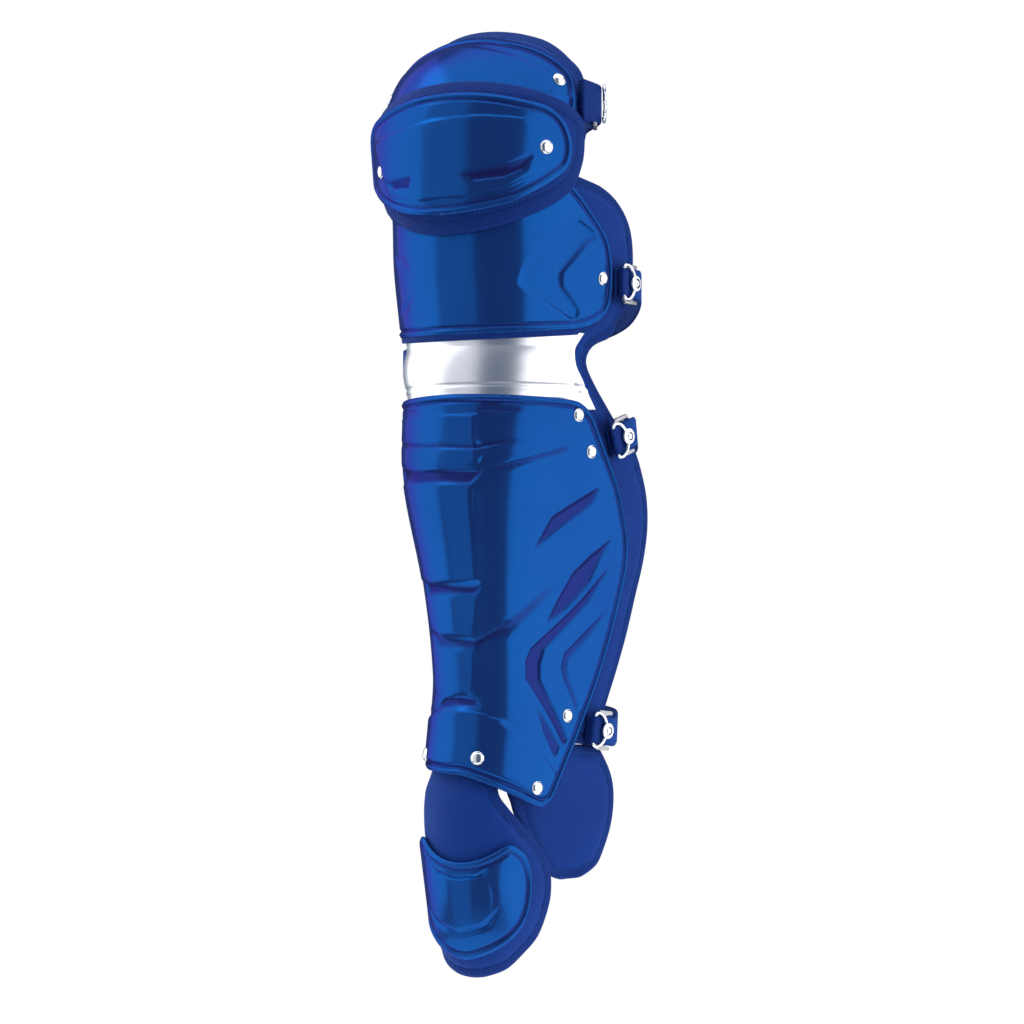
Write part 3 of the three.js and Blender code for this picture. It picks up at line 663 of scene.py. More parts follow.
class Tree:
    """A material's node tree and its Principled shader."""

    def __init__(self, name, **constants):
        self.material = bpy.data.materials.new(name)
        self.material.use_nodes = True
        self.nodes = self.material.node_tree.nodes
        self.links = self.material.node_tree.links
        self.shader = self.nodes["Principled BSDF"]
        for key, value in constants.items():
            self.shader.inputs[key.replace("_", " ")].default_value = value

    def node(self, kind, settings=None, inputs=None, output=0):
        """Adds a node with its settings and the values or links of its sockets."""
        made = self.nodes.new(kind)
        for key, value in (settings or {}).items():
            setattr(made, key, value)
        for key, value in (inputs or {}).items():
            socket = made.inputs[key]
            if isinstance(value, Value):
                self.links.new(value.socket, socket)
            else:
                socket.default_value = value
        return Value(self, made.outputs[output])

    def place(self):
        """Object coordinates."""
        return self.node("ShaderNodeTexCoord", output="Object")

    def attribute(self, name):
        """The three numbers of an attribute kept on the mesh."""
        vector = self.node("ShaderNodeAttribute", {"attribute_name": name}, output="Vector")
        parts = self.node("ShaderNodeSeparateXYZ", None, {0: vector}).socket.node.outputs
        return [Value(self, parts[i]) for i in range(3)]

    def noise(self, vector, scale, detail=3.0, rough=0.55):
        inputs = {"Vector": vector, "Scale": scale, "Detail": detail, "Roughness": rough}
        return self.node("ShaderNodeTexNoise", None, inputs)

    def mix(self, share, first, second):
        """A colour between two colours."""
        settings = {"data_type": "RGBA"}
        made = self.node("ShaderNodeMix", settings, {0: share, 6: first, 7: second}, output=2)
        return made

    def bump(self, height, distance, strength=1.0, normal=None):
        inputs = {"Height": height, "Distance": distance, "Strength": strength}
        if normal:
            inputs["Normal"] = normal
        return self.node("ShaderNodeBump", None, inputs)

    def feed(self, **values):
        """Links values to the shader's sockets."""
        for key, value in values.items():
            self.links.new(value.socket, self.shader.inputs[key.replace("_", " ")])
        return self.material


STITCH_LENGTH = 2.9
STITCH_HALF = 0.35


def rgba(colour):
    """A property's colour with full alpha."""
    return (*colour[:3], 1.0)


def moulded_plastic(looks):
    """Deep, candy-like glossy plastic with painted shade in its pockets, crease valleys and rim
    groove, and a little scuffed on its rims.
    """
    tree = Tree("moulded_plastic", Metallic=0.62, Specular_IOR_Level=0.04, Sheen_Weight=0.022,
                Sheen_Roughness=1.0)
    tree.shader.inputs["Specular Tint"].default_value = (0.02, 0.16, 0.5, 1.0)
    tree.shader.inputs["Sheen Tint"].default_value = (1.0, 0.1, 0.7, 1.0)
    where = tree.place()
    cloud = tree.noise(where, 9.0, 2.0)
    gap, _, sunk = tree.attribute("guard_edge")
    scuffs = tree.noise(where, 420.0, 4.0, 0.7)
    rim = 1 - gap.ease(1.0, 3.2)
    base = tree.mix(cloud.ease(0.35, 0.7), rgba(looks.plastic), rgba(looks.plastic_deep))
    # Painted shade: pockets, crease valleys and the rim groove are darkened towards the pocket
    # shade colour
    base = tree.mix(sunk * 0.9, base, rgba(looks.pocket_shade))
    base = tree.mix(rim * scuffs.ease(0.5, 0.75) * 0.5, base, rgba(looks.scuff))
    rough = 0.17 + 0.05 * cloud + rim * scuffs * 0.14 + sunk * 0.10
    grain = tree.bump(tree.noise(where, 160.0, 2.0), 0.0004, 0.12)
    return tree.feed(Base_Color=base, Roughness=rough, Normal=grain)


def knit_cover(name, looks, stitch_at=5.4, zigzag=False):
    """A knitted cover with a bound edge and a row of stitches round it."""
    tree = Tree(name, Sheen_Weight=0.08, Sheen_Roughness=0.45, Specular_IOR_Level=0.15)
    tree.shader.inputs["Sheen Tint"].default_value = (0.35, 0.5, 1.0, 1.0)
    around, z, _ = tree.attribute("guard_place")
    gap, run, _ = tree.attribute("guard_edge")
    where = tree.place()
    cloud = tree.noise(where, 24.0, 3.0)
    ribs = (around * 3.6).math("SINE") * (z * 2.4 + (around * 3.6).math("COSINE")).math("SINE")
    bound = 1 - gap.ease(5.8, 6.6)
    twill = ((run + gap * 0.7) * 4.0).math("SINE")
    if zigzag:
        zig = run.math("PINGPONG", 2.2)
        twill = ((gap + zig) * 2.8).math("SINE")
        bound = 1 - gap.ease(9.5, 10.3)
    lengthwise = (run / STITCH_LENGTH).math("FRACT").band(0.18, 0.82)
    stitch = lengthwise * gap.band(stitch_at - STITCH_HALF, stitch_at + STITCH_HALF)
    base = tree.mix(cloud.ease(0.3, 0.75), rgba(looks.cloth), rgba(looks.cloth_deep))
    base = tree.mix(ribs.ease(-0.6, 0.9) * 0.35, base, rgba(looks.cloth_light))
    edge = tree.mix(twill.ease(-0.4, 0.8), rgba(looks.binding), rgba(looks.cloth))
    base = tree.mix(bound, base, edge)
    base = tree.mix(stitch * 0.8, base, rgba(looks.thread))
    weave = (1 - bound) * ribs * 0.5 + bound * twill * 0.8 + stitch * 1.6
    fuzz = tree.noise(where, 900.0, 2.0)
    normal = tree.bump(weave + fuzz * 0.5, 0.00025, 0.7)
    return tree.feed(Base_Color=base, Roughness=0.72 + 0.14 * fuzz, Normal=normal)


def satin_silver(looks):
    """Silver film on a moulded band, faintly brushed round the leg."""
    tree = Tree("satin_silver", Metallic=0.92, Coat_Weight=0.1, Coat_Roughness=0.1)
    around, z, _ = tree.attribute("guard_place")
    gap, _, _ = tree.attribute("guard_edge")
    where = tree.node("ShaderNodeCombineXYZ", None, {0: around * 0.02, 1: z * 1.6})
    lines = tree.noise(where, 4.0, 4.0, 0.7)
    wear = tree.noise(tree.place(), 260.0, 4.0, 0.7).ease(0.55, 0.8) * (1 - gap.ease(0.6, 2.4))
    base = tree.mix(lines.ease(0.3, 0.7) * 0.25, rgba(looks.silver), rgba(looks.silver_deep))
    base = tree.mix(wear * 0.6, base, rgba(looks.silver_deep))
    normal = tree.bump(lines, 0.0001, 0.25)
    return tree.feed(Base_Color=base, Roughness=0.24 + 0.1 * lines + 0.15 * wear, Normal=normal)


def steel(name, colour, roughness, scale):
    """Steel with fine scratches and a little tone."""
    tree = Tree(name, Metallic=1.0)
    where = tree.place()
    tone = tree.noise(where, scale, 4.0, 0.6)
    dark = tuple(0.62 * c for c in colour[:3])
    base = tree.mix(tone.ease(0.35, 0.8) * 0.5, rgba(colour), rgba(dark))
    marks = tree.noise(where, scale * 8, 2.0)
    normal = tree.bump(marks, 0.00005, 0.35)
    return tree.feed(Base_Color=base, Roughness=roughness + 0.12 * marks, Normal=normal)


def webbing(name, colour, deep, looks, stretch):
    """Woven webbing: ribs along it, finer threads across, and darker selvages at its edges."""
    tree = Tree(name, Sheen_Weight=0.08, Sheen_Roughness=0.4, Specular_IOR_Level=0.15)
    tree.shader.inputs["Sheen Tint"].default_value = (0.4, 0.55, 1.0, 1.0)
    along, across, _ = tree.attribute("guard_weave")
    rib = (across * 3.1).math("SINE")
    weft = (along * 5.2 + rib * 1.2).math("SINE")
    herring = ((across.math("PINGPONG", 2.5) + along * stretch) * 2.6).math("SINE")
    where = tree.place()
    cloud = tree.noise(where, 60.0, 3.0)
    weave = rib * 0.45 + weft * 0.3 + herring * 0.4
    base = tree.mix(weave.ease(-0.7, 0.9), rgba(deep), rgba(colour))
    base = tree.mix(cloud.ease(0.4, 0.8) * 0.3, base, rgba(deep))
    selvage = across.math("ABSOLUTE").ease(8.2, 8.8)
    base = tree.mix(selvage * 0.5, base, rgba(looks.binding))
    fuzz = tree.noise(where, 1100.0, 2.0)
    normal = tree.bump(weave + fuzz * 0.5, 0.00022, 0.8)
    return tree.feed(Base_Color=base, Roughness=0.7 + 0.15 * fuzz, Normal=normal)


# What a user would change

def colour_property(name, text, value):
    return bpy.props.FloatVectorProperty(
        name=name, description=text, subtype="COLOR", size=3, min=0, max=1, default=value)


class GuardLooks(bpy.types.PropertyGroup):
    """Colours of the guard."""
    plastic: colour_property("Plastic", "Main colour of the moulded shells", (0.002, 0.078, 0.30))
    plastic_deep: colour_property("Deep plastic", "Darker tone in the shells", (0.002, 0.067, 0.27))
    # Painted shade, not a colour of the plastic: what pockets, crease valleys and the rim groove
    # are darkened to
    pocket_shade: colour_property("Pocket", "Shells inside their moulded pockets", (0.012, 0.024, 0.15))
    scuff: colour_property("Scuff", "Fine wear on the shells' rims", (0.05, 0.14, 0.42))
    cloth: colour_property("Cloth", "Knitted cover of the pads", (0.004, 0.037, 0.23))
    cloth_deep: colour_property("Deep cloth", "Darker tone of the cover", (0.004, 0.031, 0.195))
    cloth_light: colour_property("Light cloth", "Raised threads of the cover", (0.008, 0.058, 0.30))
    binding: colour_property("Binding", "Bound edge of the pads", (0.004, 0.025, 0.165))
    thread: colour_property("Thread", "Stitches", (0.015, 0.06, 0.28))
    elastic: colour_property("Elastic", "Straps behind the leg", (0.006, 0.075, 0.34))
    silver: colour_property("Silver", "Waist band", (0.86, 0.86, 0.875))
    silver_deep: colour_property("Deep silver", "Brushed lines of the band", (0.55, 0.55, 0.57))
    rivet: colour_property("Rivet", "Polished rivets and hooks", (0.9, 0.9, 0.89))
    loop: colour_property("Loop", "Pressed steel loops", (0.42, 0.42, 0.43))
    floor: colour_property("Floor", "Floor and background", (0.93, 0.93, 0.93))


class GuardStage(bpy.types.PropertyGroup):
    """Camera and light."""
    azimuth: bpy.props.FloatProperty(
        name="Azimuth", description="Angle of the camera round the leg from the front",
        subtype="ANGLE", default=math.radians(27))
    distance: bpy.props.FloatProperty(
        name="Distance", description="Camera to the leg's axis", subtype="DISTANCE", unit="LENGTH",
        default=1.2)
    height: bpy.props.FloatProperty(
        name="Height", description="Height of the camera", subtype="DISTANCE", unit="LENGTH",
        default=-0.05)
    glow: bpy.props.FloatProperty(
        name="Light", description="Brightness of the soft boxes, in watts per square metre and "
        "steradian", min=0, default=1.6)
    floor_gap: bpy.props.FloatProperty(
        name="Floor gap", description="Floor below the guard's toe", subtype="DISTANCE",
        unit="LENGTH", default=0.25)


MATERIALS = {}


def material(name):
    """A material by name, made on first use from the scene's colours."""
    if name not in MATERIALS:
        looks = bpy.context.scene.guard_looks
        makers = {
            "plastic": lambda: moulded_plastic(looks),
            "cover": lambda: knit_cover("knit_cover", looks),
            "knee_cover": lambda: knit_cover("knee_cover", looks, 9.9, zigzag=True),
            "silver": lambda: satin_silver(looks),
            "polished": lambda: steel("polished_steel", looks.rivet, 0.12, 120.0),
            "pressed": lambda: steel("pressed_steel", looks.loop, 0.3, 200.0),
            "tab": lambda: webbing("tab_webbing", looks.cloth, looks.binding, looks, 0.5),
            "elastic": lambda: webbing("elastic_webbing", looks.elastic, looks.cloth, looks, 1.4),
        }
        MATERIALS[name] = makers[name]()
    return MATERIALS[name]


# Operators

class GUARD_OT_shells(bpy.types.Operator):
    """Moulded shells of the thigh, knee, upper shin, shin and foot"""
    bl_idname = "guard.shells"
    bl_label = "Shells"

    def execute(self, context):
        pieces = (
            ("moulded_shin", SHIN_SHELL, 1.35, 14, LEG_FORM, (230, 212), (286, 265),
             -SHELL_THICKNESS, SHIN_RELIEF, None, "shin_shell"),
            ("moulded_upper", UPPER_SHELL, 2, 12, LEG_FORM, (170, 92), (244, 106),
             -SHELL_THICKNESS, UPPER_RELIEF, None, "upper_shell"),
            ("moulded_thigh", THIGH_SHELL, 2, 12, LEG_FORM, (130, 80), (180, 78),
             -SHELL_THICKNESS, THIGH_RELIEF, None, "thigh_shell"),
            ("moulded_knee", KNEE_SHELL, 2, 12, LEG_FORM, (130, 84), (160, 78),
             KNEE_SHELL_BOTTOM, KNEE_RELIEF, kneecap, "knee_shell"),
            ("moulded_foot", FOOT_SHELL, 2, 8, FOOT_FORM, (96, 84), (104, 76),
             0, FOOT_RELIEF, None, "foot_shell"),
        )
        for name, rows, arch, corner, form, grid, span, bottom, features, crown, node in pieces:
            outer, inner = shell_faces(bottom, features, crown)
            piece = wrap(name, with_corners(panel_place(rows, arch), corner), form, grid, span,
                         outer, inner)
            finish_piece(piece, material("plastic"), [node])
        return {"FINISHED"}


class GUARD_OT_pads(bpy.types.Operator):
    """Padding in knitted covers with bound edges"""
    bl_idname = "guard.pads"
    bl_label = "Pads"

    def execute(self, context):
        pieces = (
            ("padding_leg", panel_place(LEG_PAD, 2, 1.15), LEG_FORM, (150, 176), (346, 388),
             (-14.5, -3.5), waist_press, "leg_pad"),
            ("padding_thigh", panel_place(THIGH_PAD), LEG_FORM, (110, 80), (202, 97),
             (-11.5, -3.5), None, "thigh_pad"),
            ("padding_foot", panel_place(FOOT_PAD), FOOT_FORM, (80, 110), (136, 158),
             (-11.1, -1.1), None, "foot_pad"),
            ("padding_ankle_right", with_corners(ankle_place(1), 4, top=False), LEG_FORM,
             (60, 70), (80, 95), (-12.5, -4.5), ankle_sink, "ankle_pad_right"),
            ("padding_ankle_left", with_corners(ankle_place(-1), 4, top=False), LEG_FORM,
             (60, 70), (80, 95), (-12.5, -4.5), ankle_sink, "ankle_pad_left"),
        )
        for name, place, form, grid, span, (low, high), press, node in pieces:
            outer, inner = pad_faces(low, high, press=press)
            if press is ankle_sink:
                inner = self.sunk_back(low, inner)
            piece = wrap(name, place, form, grid, span, outer, inner)
            finish_piece(piece, material("cover"), [node])
        outer, inner = self.knee_faces(0.9, 4.5)
        piece = wrap("padding_knee", panel_place(KNEE_PAD), LEG_FORM, (130, 90), (190, 95),
                     outer, inner)
        finish_piece(piece, material("knee_cover"), ["knee_pad"])
        return {"FINISHED"}

    @staticmethod
    def sunk_back(low, inner):
        """The inner face of an ankle pad, which is let in as far as its outer face."""
        def back(places, gap):
            sunk = ankle_sink(places)
            return np.where(gap < BOUND_WIDTH, inner(places, gap), inner(places, gap) - sunk)

        return back

    @staticmethod
    def knee_faces(low, high):
        """The knee pad: flat inside, bulging under its shell, with a wide border of mesh."""
        def outer(places, gap):
            roll = 0.5 * bump(gap, 5, 3.6) - rounded(gap, 1.8, 1.6) - 0.5 * bump(gap, 10, 0.7)
            return high - 0.5 + kneecap(places) * ease(gap, 0, 10) + roll, np.zeros(len(places))

        def inner(places, gap):
            return low + rounded(gap, 1.8, 1.4)

        return outer, inner


class GUARD_OT_band(bpy.types.Operator):
    """Silver band at the waist, with a bead along its lower edge"""
    bl_idname = "guard.band"
    bl_label = "Waist band"

    def execute(self, context):
        def outer(places, gap):
            swell = BAND_SWELL
            tall = np.clip(1 - ((places[:, 1] - swell["z"]) / swell["half_height"]) ** 2, 0, None)
            bead = 0.8 * bump(places[:, 1], 30.5, 1.3) - 0.7 * bump(places[:, 1], 33.2, 0.9)
            side = -0.8 * bump(gap, 7.5, 1.6) * ease(np.abs(places[:, 0]), 60, 75)
            face = -3.5 + swell["rise"] * tall + bead + side - rounded(gap, 1.2, 1.3)
            return face, np.zeros(len(places))

        def inner(places, gap):
            return -6.3 + rounded(gap, 1.2, 1.2)

        piece = wrap("silver_band", panel_place(BAND), LEG_FORM, (150, 64), (196, 55), outer, inner)
        finish_piece(piece, material("silver"), ["waist_band"])
        return {"FINISHED"}


class GUARD_OT_binding(bpy.types.Operator):
    """Stitched binding of the upper pad, in view under the upper shell"""
    bl_idname = "guard.binding"
    bl_label = "Binding"

    def execute(self, context):
        rows = table(ROW, (62, 67, 88), (64.5, 69.5, 90), (67.5, 72.5, 93))

        def outer(places, gap):
            return -0.7 - rounded(gap, 1.6, 0.9), np.zeros(len(places))

        def inner(places, gap):
            return -2.9 + rounded(gap, 1.6, 0.9)

        piece = slab("bound_strip", 120, 14)
        co = coordinates(piece)
        around, z = panel_place(rows)(co[:, 0], co[:, 1])
        places = np.stack([around, z], axis=-1)
        gap = np.minimum(co[:, 1], 1 - co[:, 1]) * 5.5
        top = co[:, 2] > 0.5
        outward = np.where(top, outer(places, gap)[0], inner(places, gap))
        reshape(piece, on_form(LEG_FORM, around, z, outward) * MM)
        mark(piece, "guard_place", np.stack([around, z, top.astype(float)], axis=-1))
        mark(piece, "guard_edge", np.stack([gap * 0 + 2, around, gap * 0], axis=-1))
        pick(piece)
        bpy.ops.object.shade_smooth()
        finish_piece(piece, material("cover"))
        return {"FINISHED"}


def surface_turn(form, around, z, outward, crown=None):
    """The place of a fitting on a shell, and its outward direction."""
    def at(s, h):
        places = np.array([[s, h]], float)
        lift = crown(places)[0] if crown else 0
        return Vector(on_form(form, s, h, outward + lift))

    across = at(around + 1, z) - at(around - 1, z)
    upward = at(around, z + 1) - at(around, z - 1)
    return at(around, z), across.cross(upward).normalized()


def dome(radius, height):
    """One rivet head: a disc, extruded and drawn in step by step to a dome on a thin flange."""
    deselect()
    bpy.ops.mesh.primitive_circle_add(vertices=32, radius=radius * MM, fill_type="NGON")
    piece = bpy.context.object
    bpy.ops.object.mode_set(mode="EDIT")
    bpy.ops.mesh.select_all(action="SELECT")
    size, level = 1.0, 0.0
    steps = ((1.0, 0.12), (0.95, 0.2), (0.9, 0.21), (0.87, 0.36), (0.8, 0.56), (0.68, 0.75),
             (0.5, 0.89), (0.3, 0.97), (0.12, 1.0))
    for share, lift in steps:
        rise = (lift - level) * height * MM
        bpy.ops.mesh.extrude_region_move(TRANSFORM_OT_translate={"value": (0, 0, rise)})
        bpy.ops.transform.resize(value=(share / size, share / size, 1))
        size, level = share, lift
    bpy.ops.mesh.select_all(action="SELECT")
    bpy.ops.mesh.normals_make_consistent(inside=False)
    bpy.ops.object.mode_set(mode="OBJECT")
    bpy.ops.object.shade_smooth()
    return piece


def place_copy(model, name, matrix):
    """A copy of a model with its own mesh, moved into its place."""
    mesh = model.data.copy()
    mesh.transform(matrix)
    piece = bpy.data.objects.new(name, mesh)
    bpy.context.scene.collection.objects.link(piece)
    return piece


class GUARD_OT_rivets(bpy.types.Operator):
    """Polished rivet heads"""
    bl_idname = "guard.rivets"
    bl_label = "Rivets"

    def execute(self, context):
        reliefs = {"thigh": THIGH_RELIEF, "knee": KNEE_RELIEF, "upper": UPPER_RELIEF}
        knee_top = KNEE_SHELL_BOTTOM + SHELL_THICKNESS
        model = dome(4.5, 1.9)
        for name, around, z, on in RIVETS:
            top, crown = (knee_top, kneecap) if on == "cup" else (0.0, None)
            relief = reliefs.get(name.split("_")[0], SHIN_RELIEF)
            raised, _ = moulded(np.array([[around, z]], float), relief)
            top += max(0, raised[0])
            spot, outward = surface_turn(LEG_FORM, around, z, top, crown)
            turn = outward.to_track_quat("Z", "Y").to_matrix().to_4x4()
            seat = Matrix.Translation((spot + outward * 0.1) * MM)
            piece = place_copy(model, f"dome_{name}", seat @ turn)
            finish_piece(piece, material("polished"), [f"rivet_{name}"])
        bpy.data.objects.remove(model)
        return {"FINISHED"}


# Buckles and straps

BAR_TAB, BAR_STRAP = -6.0, 3.0
FOLD_RADIUS = 3.2
WEBBING_THICKNESS = 1.8
WEBBING_COLUMNS = (0, 0.012, 0.05, 0.12, 0.2, 0.3, 0.4, 0.5, 0.6, 0.7, 0.8, 0.88, 0.95, 0.988, 1)


def clip_frame(clip):
    """A clip's three directions, its middle and its matrix, in millimetres."""
    turned, lean = math.radians(clip["facing"]), math.radians(clip["lean"])
    level = Vector((math.cos(turned), math.sin(turned), 0))
    upright = Vector((0, 0, 1))
    back = level * math.cos(lean) + upright * math.sin(lean)
    up = upright * math.cos(lean) - level * math.sin(lean)
    out = Vector((math.sin(turned), -math.cos(turned), 0))
    middle = Vector((clip["x"], clip["y"], clip["z"]))
    matrix = Matrix((back, up, out)).transposed().to_4x4()
    matrix.translation = middle
    return back, up, out, middle, matrix


def run_through(points, each):
    """A smooth line through points, with a number of steps for each stretch."""
    line = [2 * points[0] - points[1], *points, 2 * points[-1] - points[-2]]
    out = []
    for i in range(len(points) - 1):
        before, start, end, after = line[i:i + 4]
        first, middle, last = (math.sqrt(max((b - a).length, 1e-6))
                               for a, b in ((before, start), (start, end), (end, after)))
        leave = ((start - before) / first - (end - before) / (first + middle)
                 + (end - start) / middle) * middle
        arrive = ((end - start) / middle - (after - start) / (middle + last)
                  + (after - end) / last) * middle
        for k in range(each):
            t = k / each
            bend = leave + arrive - 2 * (end - start)
            out.append(start + t * (leave + t * ((end - start) - leave - bend + t * bend)))
    return out + [points[-1]]


def ribbon(name, points, start, end, each):
    """A flat band of webbing along points, with rounded edges and its weave's coordinates."""
    line = run_through(points, each)
    count = len(line) - 1
    columns = len(WEBBING_COLUMNS) - 1
    piece = slab(name, count, columns)
    co = coordinates(piece)
    index = np.rint(co[:, 0] * count).astype(int)
    lengths = np.cumsum([0] + [(b - a).length for a, b in zip(line, line[1:])])
    path = np.array(line)
    tangent = np.gradient(path, axis=0)
    tangent /= np.linalg.norm(tangent, axis=1)[:, None]
    share = ease(np.arange(count + 1) / count, 0.1, 0.7)[:, None]
    up = np.array(start[0]) * (1 - share) + np.array(end[0]) * share
    up /= np.linalg.norm(up, axis=1)[:, None]
    flat = np.cross(tangent, up)
    flat /= np.linalg.norm(flat, axis=1)[:, None]
    wide = (2 * np.arange(count + 1) / count - 1) ** 2
    height = start[1] + (end[1] - start[1]) * wide
    across = np.interp(co[:, 1] * columns, range(columns + 1), WEBBING_COLUMNS)
    beside = (across - 0.5) * height[index]
    edge = height[index] / 2 - np.abs(beside)
    half = WEBBING_THICKNESS / 2 - rounded(edge, 0.9, WEBBING_THICKNESS / 2)
    off = np.where(co[:, 2] > 0.5, half, -half)
    reshape(piece, (path[index] + up[index] * beside[:, None] + flat[index] * off[:, None]) * MM)
    mark(piece, "guard_weave", np.stack([lengths[index], beside, co[:, 2]], axis=-1))
    pick(piece)
    bpy.ops.object.mode_set(mode="EDIT")
    bpy.ops.mesh.select_all(action="SELECT")
    bpy.ops.mesh.normals_make_consistent(inside=False)
    bpy.ops.object.mode_set(mode="OBJECT")
    bpy.ops.object.shade_smooth()
    return piece


def fold_round(place, bar, turns):
    """Points of a fold round a bar."""
    return [place(bar + FOLD_RADIUS * math.cos(t * math.pi), FOLD_RADIUS * math.sin(t * math.pi))
            for t in turns]


class GUARD_OT_webbing(bpy.types.Operator):
    """Webbing tabs on the pads and elastic straps round the back of the leg"""
    bl_idname = "guard.webbing"
    bl_label = "Webbing"

    def execute(self, context):
        for clip, loop in zip(CLIPS, LOOPS):
            back, up, out, middle, _ = clip_frame(clip)

            def place(x, z):
                return middle + back * x + out * z

            def lies(around, z, outward):
                return Vector(on_form(LEG_FORM, around, z, outward))

            low = -3.5 + 0.7 + WEBBING_THICKNESS / 2
            points = [
                lies(clip["tab"], clip["z"], low),
                place(BAR_TAB - 5, -FOLD_RADIUS),
                *fold_round(place, BAR_TAB, (-0.5, -0.25, 0, 0.25, 0.5)),
                place(BAR_TAB - 5, FOLD_RADIUS - 0.5),
                lies(clip["tab"], clip["z"], low + WEBBING_THICKNESS + 0.6),
            ]
            piece = ribbon(f"webbing_tab_{clip['name']}", points, (up, 20), (up, clip["height"]), 8)
            finish_piece(piece, material("tab"), [f"tab_{clip['name']}"])
            points = [
                place(BAR_STRAP + 9, -1.3),
                *fold_round(place, BAR_STRAP, (-0.5, -0.75, -1, -1.25, -1.5)),
                place(BAR_STRAP + 9, 1.3),
            ]
            for degrees in (20, 45, 70, 95, 120, 145):
                angle = math.radians(degrees)
                points.append(Vector((
                    loop["half"] * math.cos(angle),
                    loop["middle"] + loop["depth"] * math.sin(angle),
                    clip["z"] + (loop["z"] - clip["z"]) * degrees / 160)))
            lie = -3.5 + 0.5 + WEBBING_THICKNESS / 2
            points += [
                lies(-loop["edge"] - 6, loop["z"], lie + loop["bulge"] + 1),
                lies(-loop["edge"], loop["z"], lie + loop["bulge"]),
                lies(-loop["end"], loop["z"], lie),
            ]
            upright = Vector((0, 0, 1))
            piece = ribbon(f"elastic_{clip['name']}", points, (up, 20), (upright, 20), 9)
            finish_piece(piece, material("elastic"), [f"strap_{clip['name']}"])
        return {"FINISHED"}


class GUARD_OT_buckles(bpy.types.Operator):
    """Pressed steel loops, round plates and their bent wire prongs"""
    bl_idname = "guard.buckles"
    bl_label = "Buckles"

    def execute(self, context):
        plate = self.plate()
        prong = self.prong()
        for clip in CLIPS:
            name = clip["name"]
            loop = self.softened(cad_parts[f"loop_{name}"], f"pressed_loop_{name}")
            finish_piece(loop, material("pressed"), [f"loop_{name}"])
            matrix = clip_frame(clip)[4]
            matrix = Matrix.Scale(MM, 4) @ matrix
            round_plate = place_copy(plate, f"hook_plate_{name}", matrix)
            finish_piece(round_plate, material("polished"), [f"hook_{name}"])
            for side, word in ((1, "upper"), (-1, "lower")):
                flip = Matrix.Diagonal((1, side, 1, 1))
                wire = place_copy(prong, f"hook_prong_{word}_{name}", matrix @ flip)
                if side < 0:
                    wire.data.flip_normals()
                finish_piece(wire, material("polished"))
        bpy.data.objects.remove(plate)
        bpy.data.objects.remove(prong)
        return {"FINISHED"}

    @staticmethod
    def softened(node, name):
        """A copy of a solid with its doubles merged and its sharp edges rounded."""
        piece = bpy.data.objects.new(name, node.data.copy())
        bpy.context.scene.collection.objects.link(piece)
        pick(piece)
        bpy.ops.object.mode_set(mode="EDIT")
        bpy.ops.mesh.select_all(action="SELECT")
        bpy.ops.mesh.remove_doubles(threshold=0.00001)
        bpy.ops.mesh.dissolve_limited(angle_limit=math.radians(4))
        bpy.ops.object.mode_set(mode="OBJECT")
        bevel = piece.modifiers.new("soft_edges", "BEVEL")
        bevel.width = 0.0006
        bevel.segments = 3
        bevel.limit_method = "ANGLE"
        bevel.angle_limit = math.radians(30)
        bpy.ops.object.modifier_apply(modifier="soft_edges")
        bpy.ops.object.shade_smooth_by_angle(angle=math.radians(50))
        return piece

    @staticmethod
    def plate():
        """A round plate with a raised rim and a button rivet, in the clip's own plane."""
        deselect()
        bpy.ops.mesh.primitive_circle_add(
            vertices=40, radius=5.4, fill_type="NGON", location=(0, 0, 0))
        piece = bpy.context.object
        bpy.ops.object.mode_set(mode="EDIT")
        bpy.ops.mesh.select_all(action="SELECT")
        size, level = 1.0, 5.4
        bpy.ops.transform.translate(value=(0, 0, 5.4))
        steps = ((1.0, 5.6), (1.03, 6.2), (1.0, 6.8), (0.93, 7.1), (0.8, 7.05), (0.42, 7.0),
                 (0.40, 7.35), (0.34, 7.65), (0.2, 7.8), (0.17, 7.6), (0.06, 7.55))
        for share, lift in steps:
            bpy.ops.mesh.extrude_region_move(TRANSFORM_OT_translate={"value": (0, 0, lift - level)})
            bpy.ops.transform.resize(value=(share / size, share / size, 1))
            size, level = share, lift
        bpy.ops.mesh.select_all(action="SELECT")
        bpy.ops.mesh.normals_make_consistent(inside=False)
        bpy.ops.object.mode_set(mode="OBJECT")
        bpy.ops.object.shade_smooth()
        return piece

    @staticmethod
    def prong():
        """One bent wire, from the plate out and round to its tip."""
        route = [Vector((-1.5, 2.6, 6.2)), Vector((-3.2, 6.6, 6.2)), Vector((-5.6, 9.7, 6.0)),
                 Vector((-8.8, 11.3, 5.8)), Vector((-12, 11.1, 5.7)), Vector((-14.2, 9, 5.6))]
        line = run_through(route, 6)
        curve_data = bpy.data.curves.new("wire", "CURVE")
        curve_data.dimensions = "3D"
        curve_data.bevel_depth = 1.2
        curve_data.bevel_resolution = 4
        curve_data.use_fill_caps = True
        spline = curve_data.splines.new("POLY")
        spline.points.add(len(line) - 1)
        for point, spot in zip(spline.points, line):
            point.co = (*spot, 1)
        for point, radius in zip(list(spline.points)[-1:-4:-1], (0.45, 0.85, 1.02)):
            point.radius = radius
        piece = bpy.data.objects.new("wire", curve_data)
        bpy.context.scene.collection.objects.link(piece)
        pick(piece)
        bpy.ops.object.convert(target="MESH")
        piece = bpy.context.object
        bpy.ops.object.mode_set(mode="EDIT")
        bpy.ops.mesh.select_all(action="SELECT")
        bpy.ops.mesh.remove_doubles(threshold=0.0001)
        bpy.ops.mesh.normals_make_consistent(inside=False)
        bpy.ops.object.mode_set(mode="OBJECT")
        bpy.ops.object.shade_smooth()
        return piece


